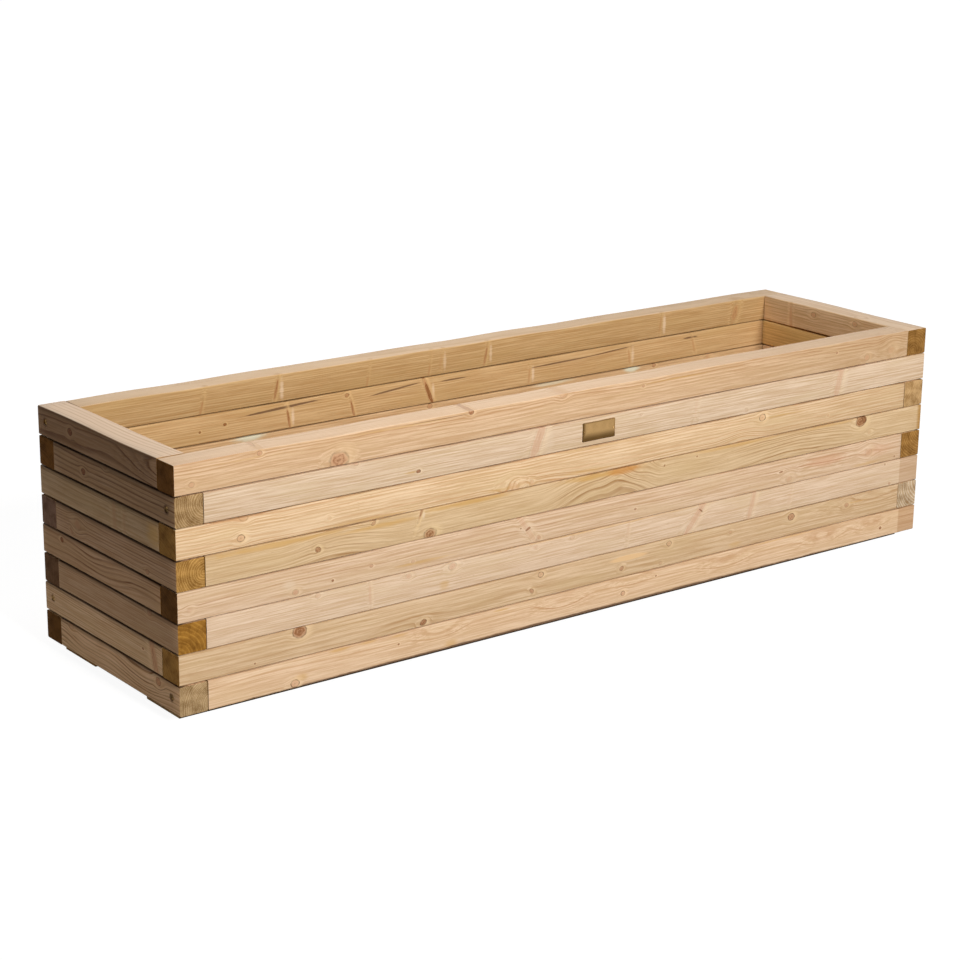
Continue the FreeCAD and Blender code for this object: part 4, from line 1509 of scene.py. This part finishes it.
@dataclass
class TroughWalls:
    """Eight courses of battens that run past each other at the corners in turn, with screwed ends.

    Sizes are in metres. The gaps are how far a batten's top has sunk, which opens the joint over it.
    """

    courses: int = 8
    arris: float = 0.0024
    planed_arris: float = 0.0014
    screw_courses: tuple[int, ...] = (8, 7, 2, 1)
    screw_inset: float = 0.177
    sink_width: float = 0.0056
    sink_depth: float = 0.0070
    sink_tip: float = 0.0026
    drill_slack: float = 0.0004
    gap: float = 0.0019
    front_gaps: tuple[float, ...] = (0.0023, 0.0020, 0.0015, 0.0020, 0.0023, 0.0026, 0.0026, 0.0017)
    open_gap: float = 0.0042
    open_joint: tuple[Side, int] = (Side.RIGHT, 7)
    straight_batten: tuple[Side, int] = (Side.FRONT, 7)
    bend: float = 0.0007
    warp: float = 0.0004
    short_by: float = 0.0008
    thin_by: float = 0.0002
    long_spans: int = 36
    cross_spans: int = 12
    # How much the top course's top is paled: partly sun-bleaching, partly a painted sheen.
    long_bleach: float = 0.58
    cross_bleach: float = 0.86
    stock: Stockpile = field(default_factory=Stockpile)

    def screw_places(self) -> list[tuple[Side, int, Vector]]:
        """Finds the end screws.

        Returns:
            Each screw's wall, course and place on the wall's face.
        """
        places = []
        for side in (Side.LEFT, Side.RIGHT):
            for course in self.screw_courses:
                low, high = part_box(f"course_{course}_{side.value}_batten")
                face = low.x if side is Side.LEFT else high.x
                along = (1.0 if course % 2 == 0 else -1.0) * side.way_in * self.screw_inset
                places.append((side, course, Vector((face, along, (low.z + high.z) / 2))))
        return places

    def countersink(self, piece: bpy.types.Object, side: Side, place: Vector) -> None:
        """Bores the funnel that a screw head sits in.

        Args:
            piece: The batten.
            side: Its wall.
            place: The screw's place on the face.
        """
        drill = bmesh.new()
        bmesh.ops.create_cone(
            drill, cap_ends=True, cap_tris=False, segments=40, radius1=self.sink_width + self.drill_slack,
            radius2=self.sink_tip, depth=self.sink_depth + 2 * self.drill_slack)
        turn(drill, side.way_in * math.pi / 2, "Y")
        move(drill, place + Vector((side.way_in * (self.sink_depth / 2 - self.drill_slack), 0.0, 0.0)))
        cut(piece, shape(drill, "drill"))

    def sinkage(self, side: Side, course: int) -> float:
        """How far a batten's top has sunk.

        Args:
            side: Its wall.
            course: Its course, 1 at the ground.

        Returns:
            The depth in metres.
        """
        if side is Side.FRONT:
            return self.front_gaps[course - 1]
        return self.open_gap if (side, course) == self.open_joint else self.gap

    def bar(self, side: Side, course: int) -> TimberBar:
        """Sets out one batten.

        Args:
            side: Its wall.
            course: Its course, 1 at the ground.

        Returns:
            The batten, not yet built.
        """
        label = f"{course}_{side.value}"
        edge = self.planed_arris if side is Side.FRONT else self.arris
        bleach = self.cross_bleach if side.crosswise else self.long_bleach
        return TimberBar(
            f"batten_{label}", f"course_{label}_batten", "wall_timber", self.stock.batten(side, course),
            side.crosswise, edge, f"bar-{course}-{side.value}",
            spans=self.cross_spans if side.crosswise else self.long_spans, warp=self.warp,
            shy=(self.short_by, self.thin_by, self.sinkage(side, course)), inward=side.inward,
            bend=0.0 if (side, course) == self.straight_batten else self.bend,
            bleach=bleach if course == self.courses else 0.0)

    def build(self) -> None:
        """Lays all the battens, bores their ends and dresses them."""
        holes = {(side, course): place for side, course, place in self.screw_places()}
        for course in range(1, self.courses + 1):
            for side in Side:
                bar = self.bar(side, course)
                piece = bar.build()
                if (side, course) in holes:
                    self.countersink(piece, side, holes[side, course])
                bar.dress()


@dataclass
class EndScrews:
    """The countersunk screws that draw the corners of the top and bottom courses together.

    Sizes are in metres. The recess is the length, width and depth of each arm of the cross in the head.
    """

    walls: TroughWalls
    head: float = 0.0047
    head_round: float = 0.0006
    head_depth: float = 0.0038
    shank: float = 0.0024
    length: float = 0.030
    sunk: float = 0.0020
    recess: Triple = (0.0050, 0.0011, 0.0024)
    recess_taper: Pair = (0.45, 0.6)
    recess_turn: float = 0.4
    weld: float = 0.000005

    def one(self) -> bpy.types.Object:
        """Turns one screw about its axis and presses the cross into its head.

        Returns:
            The screw, head at the origin, pointing along +X.
        """
        outline = (
            (0.0, 0.0), (0.80 * self.head, 0.0), (0.97 * self.head, self.head_round / 3),
            (self.head, self.head_round), (self.shank, self.head_depth), (self.shank, 0.8 * self.length),
            (0.0, self.length))
        lathe = bmesh.new()
        verts = [lathe.verts.new((depth, radius, 0.0)) for radius, depth in outline]
        edges = [lathe.edges.new(pair) for pair in zip(verts, verts[1:])]
        bmesh.ops.spin(
            lathe, geom=verts + edges, cent=(0.0, 0.0, 0.0), axis=(1.0, 0.0, 0.0), dvec=(0.0, 0.0, 0.0),
            angle=math.tau, steps=36, use_merge=True, use_duplicate=False)
        bmesh.ops.remove_doubles(lathe, verts=lathe.verts, dist=self.weld)
        bmesh.ops.recalc_face_normals(lathe, faces=lathe.faces)
        screw = shape(lathe, "screw")
        arm, width, depth = self.recess
        for quarter in (0.0, math.pi / 2):
            wing = block((2 * depth, arm, width))
            inner = [vert for vert in wing.verts if vert.co.x > 0.0]
            bmesh.ops.scale(wing, vec=(1.0, *self.recess_taper), verts=inner)
            turn(wing, quarter + self.recess_turn, "X")
            cut(screw, shape(wing, "wing"))
        return screw

    def build(self) -> None:
        """Sets a screw in each hole, turned by its own amount."""
        pattern = self.one()
        box = bmesh.new()
        draw = random.Random("screws")
        for side, _, place in self.walls.screw_places():
            before = len(box.verts)
            box.from_mesh(pattern.data)
            box.verts.ensure_lookup_table()
            fresh = box.verts[before:]
            turn(box, draw.uniform(0.0, 1.5), "X", fresh)
            if side is Side.RIGHT:
                turn(box, math.pi, "Z", fresh)
            move(box, place + Vector((side.way_in * self.sunk, 0.0, 0.0)), fresh)
        bpy.data.objects.remove(pattern)
        screws = shape(box, "end_screw_set", sharp=30.0)
        fit(screws, ZINC_STEEL.material("zinc_steel"), "end_screws")


@dataclass
class TroughFloor:
    """Two ground runners under the long walls and thirteen slats across them, all nailed.

    The reaches are in mm, and the other sizes in metres.
    """

    slats: int = 13
    board_edge: float = 0.0015
    runner_reach: float = 700.0
    # The runners are made very dark: partly old dark timber, partly painted shade for the strip under the
    # front wall.
    runner_dull: float = 0.32
    runner_spans: int = 24
    runner_warp: float = 0.0003
    runner_shy: Triple = (0.001, 0.0003, 0.0)
    slat_reach: float = 140.0
    slat_dull: float = 0.86
    slat_spans: int = 8
    slat_warp: float = 0.0006
    slat_shy: Triple = (0.002, 0.0008, 0.0006)

    def runner(self, end: str) -> TimberBar:
        """Sets out the runner under the front or the back."""
        timber = Stockpile.drawn(f"runner-{end}", self.runner_reach, HALF_BOARD, self.runner_dull)
        return TimberBar(
            f"{end}_ground_runner", f"{end}_runner", "base_timber", timber, False, self.board_edge,
            f"runner-bar-{end}", self.runner_spans, self.runner_warp, self.runner_shy)

    def slat(self, number: int) -> TimberBar:
        """Sets out one slat, counted from the left."""
        timber = Stockpile.drawn(f"slat-{number}", self.slat_reach, HALF_BOARD, self.slat_dull)
        return TimberBar(
            f"slat_{number:02d}", f"floor_slat_{number:02d}", "base_timber", timber, True, self.board_edge,
            f"slat-bar-{number}", self.slat_spans, self.slat_warp, self.slat_shy)

    def build(self) -> None:
        """Cuts the boards, dresses them and blackens the nails."""
        runners = [self.runner(end) for end in ("front", "back")]
        for board in runners + [self.slat(number) for number in range(1, self.slats + 1)]:
            board.build()
            board.dress()
        iron = BLACK_IRON.material("black_iron")
        for node in ("course_nails", "runner_nails", "slat_nails"):
            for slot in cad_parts[node].material_slots:
                slot.material = iron
            LOG.info("%s: keeps its solids, in black iron", node)


@dataclass
class NamePlate:
    """The small bare brass plate, held by two round-headed pins.

    Sizes are in metres. The darkening low down, partly tarnish and partly a painted reflection, thins out
    between two heights over the plate's foot.
    """

    corner: float = 0.0015
    rim: float = 0.0007
    raise_rim: float = 0.0002
    bed: float = 0.0006
    pin: float = 0.0016
    pin_dome: float = 0.62
    tarnish_heights: Pair = (0.005, 0.019)

    def build(self) -> None:
        """Presses the plate, domes the pins and dresses both in brass."""
        brass = self._brass()
        fit(self._plate(), brass, "brass_plate")
        fit(self._pins(), brass, "plate_pins")

    def _brass(self) -> bpy.types.Material:
        """Makes the brass, darker low down and along the plate's border, partly with tarnish and partly as a
        painted reflection.

        Returns:
            The material.
        """
        low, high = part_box("brass_plate")
        settle = tuple((low.z + height) / MM for height in self.tarnish_heights)
        border = tuple(edge / MM for edge in (low.x, high.x, low.z, high.z))
        return replace(AGED_BRASS, settle=settle, border=border).material("aged_brass")

    def _plate(self) -> bpy.types.Object:
        """Presses the plate, with a raised rim about a flat field.

        Returns:
            The plate.
        """
        low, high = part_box("brass_plate")
        size = high - low
        sheet = block((size.x, size.y - self.raise_rim + self.bed, size.z))
        move(sheet, (0.0, (self.bed + self.raise_rim) / 2, 0.0))
        corners = [edge for edge in sheet.edges if abs(edge.verts[0].co.y - edge.verts[1].co.y) > size.y / 2]
        ease(sheet, corners, self.corner, segments=6)
        front = min(sheet.faces, key=lambda face: face.calc_center_median().y)
        steps = ((0.4, -self.raise_rim), (1.0, 0.0), (0.3, self.raise_rim))
        for share, rise in steps:
            bmesh.ops.inset_region(sheet, faces=[front], thickness=share * self.rim, use_even_offset=True)
            move(sheet, (0.0, rise, 0.0), list(front.verts))
        move(sheet, (high + low) / 2)
        return shape(sheet, "brass_name_plate", sharp=25.0)

    def _pins(self) -> bpy.types.Object:
        """Domes the two pin heads over the plate's ends.

        Returns:
            The heads, as one piece.
        """
        low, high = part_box("plate_pins")
        out, middle = low.y + self.pin * self.pin_dome, (low.z + high.z) / 2
        heads = bmesh.new()
        for across in (low.x + self.pin, high.x - self.pin):
            made = bmesh.ops.create_uvsphere(heads, u_segments=24, v_segments=16, radius=self.pin)["verts"]
            bmesh.ops.scale(heads, vec=(1.0, self.pin_dome, 1.0), verts=made)
            move(heads, (across, out, middle), made)
        return shape(heads, "plate_pin_heads", sharp=60.0)


@dataclass(frozen=True)
class Sun:
    """A broad lamp far away: its level, the way it comes from and its width in degrees."""

    name: str
    strength: float
    source: Triple
    spread: float
    distance: float = 4.0

    def hang(self) -> None:
        """Hangs the lamp."""
        lamp = bpy.data.lights.new(self.name, "SUN")
        lamp.energy, lamp.angle = self.strength, math.radians(self.spread)
        holder = bpy.data.objects.new(self.name, lamp)
        holder.rotation_mode = "QUATERNION"
        holder.rotation_quaternion = (-Vector(self.source)).to_track_quat("-Z", "Y")
        holder.location = Vector(self.source) * self.distance
        bpy.context.scene.collection.objects.link(holder)


@dataclass(frozen=True)
class Panel:
    """A flat lamp: its power, middle, size, and its turn about the front-to-back way from straight down."""

    name: str
    power: float
    place: Triple
    size: Pair
    turn: float

    def hang(self) -> None:
        """Hangs the lamp, out of the camera's sight."""
        lamp = bpy.data.lights.new(self.name, "AREA")
        lamp.shape, lamp.size, lamp.size_y = "RECTANGLE", *self.size
        lamp.energy = self.power
        holder = bpy.data.objects.new(self.name, lamp)
        holder.location = self.place
        holder.rotation_euler = (0.0, self.turn, 0.0)
        holder.visible_camera = False
        bpy.context.scene.collection.objects.link(holder)


@dataclass
class Studio:
    """A pale floor, soft lamps and the camera."""

    floor_radius: float = 30.0
    floor_drop: float = 0.0005
    floor_tint: Rgb = (118, 117, 116)
    floor_glow: float = 0.93
    key: Sun = Sun("key", 3.16, (0.03, -0.83, 0.38), 12.0)
    fill: Sun = Sun("fill", 1.65, (0.3, 0.95, 0.15), 60.0)
    softbox: Panel = Panel("softbox", 14.0, (-0.4, -0.15, 1.75), (1.3, 0.7), -0.90)
    card: Panel = Panel("card", 0.62, (-1.15, 0.0, 0.06), (0.11, 0.9), -math.pi / 2)
    air: float = 0.02
    eye: Triple = (-2.2256, -2.7979, 1.2434)
    look: Triple = (0.58486, 0.75978, -0.28401)
    roll: float = 0.6641
    lens: float = 85.43
    sensor: float = 36.0

    def build(self) -> None:
        """Sets the whole stage."""
        bpy.context.scene.view_settings.view_transform = "Standard"
        self._floor()
        for lamp in (self.key, self.fill, self.softbox, self.card):
            lamp.hang()
        self._sky()
        self._camera()

    @staticmethod
    def _seen(net: Wiring) -> Socket:
        """One for rays that show the background: straight, mirrored or through glass."""
        path = net.node("ShaderNodeLightPath").outputs
        return net.most(path["Is Glossy Ray"], path["Is Transmission Ray"], path["Is Camera Ray"])

    def _floor(self) -> None:
        """Lays a round floor that is white to the eye, keeps a soft shadow and vanishes from below."""
        disc = bmesh.new()
        bmesh.ops.create_circle(disc, cap_ends=True, segments=96, radius=self.floor_radius)
        move(disc, (0.0, 0.0, -self.floor_drop))
        floor = shape(disc, "studio_floor")
        made = bpy.data.materials.new("studio_floor")
        net = Wiring.fresh(made)
        grain = net.ramp(net.noise(net.node("ShaderNodeTexCoord").outputs["Object"], 3.0), 0.3, 0.7)
        tint = net.mix(grain, paint(self.floor_tint), Tone.SCUFF.on(self.floor_tint))
        matt = net.node("ShaderNodeBsdfDiffuse", {"Color": tint})
        level = net.times(self._seen(net), self.floor_glow)
        glow = net.node("ShaderNodeEmission", {"Color": WHITE, "Strength": level})
        both = net.node("ShaderNodeAddShader", {0: matt.outputs[0], 1: glow.outputs[0]})
        under = net.node("ShaderNodeNewGeometry").outputs["Backfacing"]
        clear = net.node("ShaderNodeBsdfTransparent")
        net.surface("ShaderNodeMixShader", {0: under, 1: both.outputs[0], 2: clear.outputs[0]})
        floor.data.materials.append(made)

    def _sky(self) -> None:
        """Fills the room with a soft level of light that looks white behind the trough."""
        world = bpy.data.worlds.new("room")
        net = Wiring.fresh(world)
        level = net.node("ShaderNodeMix", {0: self._seen(net), 2: self.air, 3: 1.0}, data_type="FLOAT")
        light = net.node("ShaderNodeBackground", {"Color": WHITE, "Strength": level.outputs[0]})
        net.node("ShaderNodeOutputWorld", {"Surface": light.outputs[0]})
        bpy.context.scene.world = world

    def _camera(self) -> None:
        """Stands the camera where the picture was taken."""
        data = bpy.data.cameras.new("camera")
        data.lens, data.sensor_width = self.lens, self.sensor
        camera = bpy.data.objects.new("camera", data)
        camera.rotation_mode = "QUATERNION"
        tilt = Quaternion((0.0, 0.0, 1.0), math.radians(self.roll))
        camera.rotation_quaternion = Vector(self.look).to_track_quat("-Z", "Y") @ tilt
        camera.location = self.eye
        bpy.context.scene.collection.objects.link(camera)
        bpy.context.scene.camera = camera


def main() -> None:
    """Builds the studio and every sub-assembly of the trough in order."""
    logging.basicConfig(level=logging.INFO, format="%(name)s: %(message)s")
    Studio().build()
    walls = TroughWalls()
    walls.build()
    EndScrews(walls).build()
    TroughFloor().build()
    NamePlate().build()


if __name__ == "__main__":
    main()
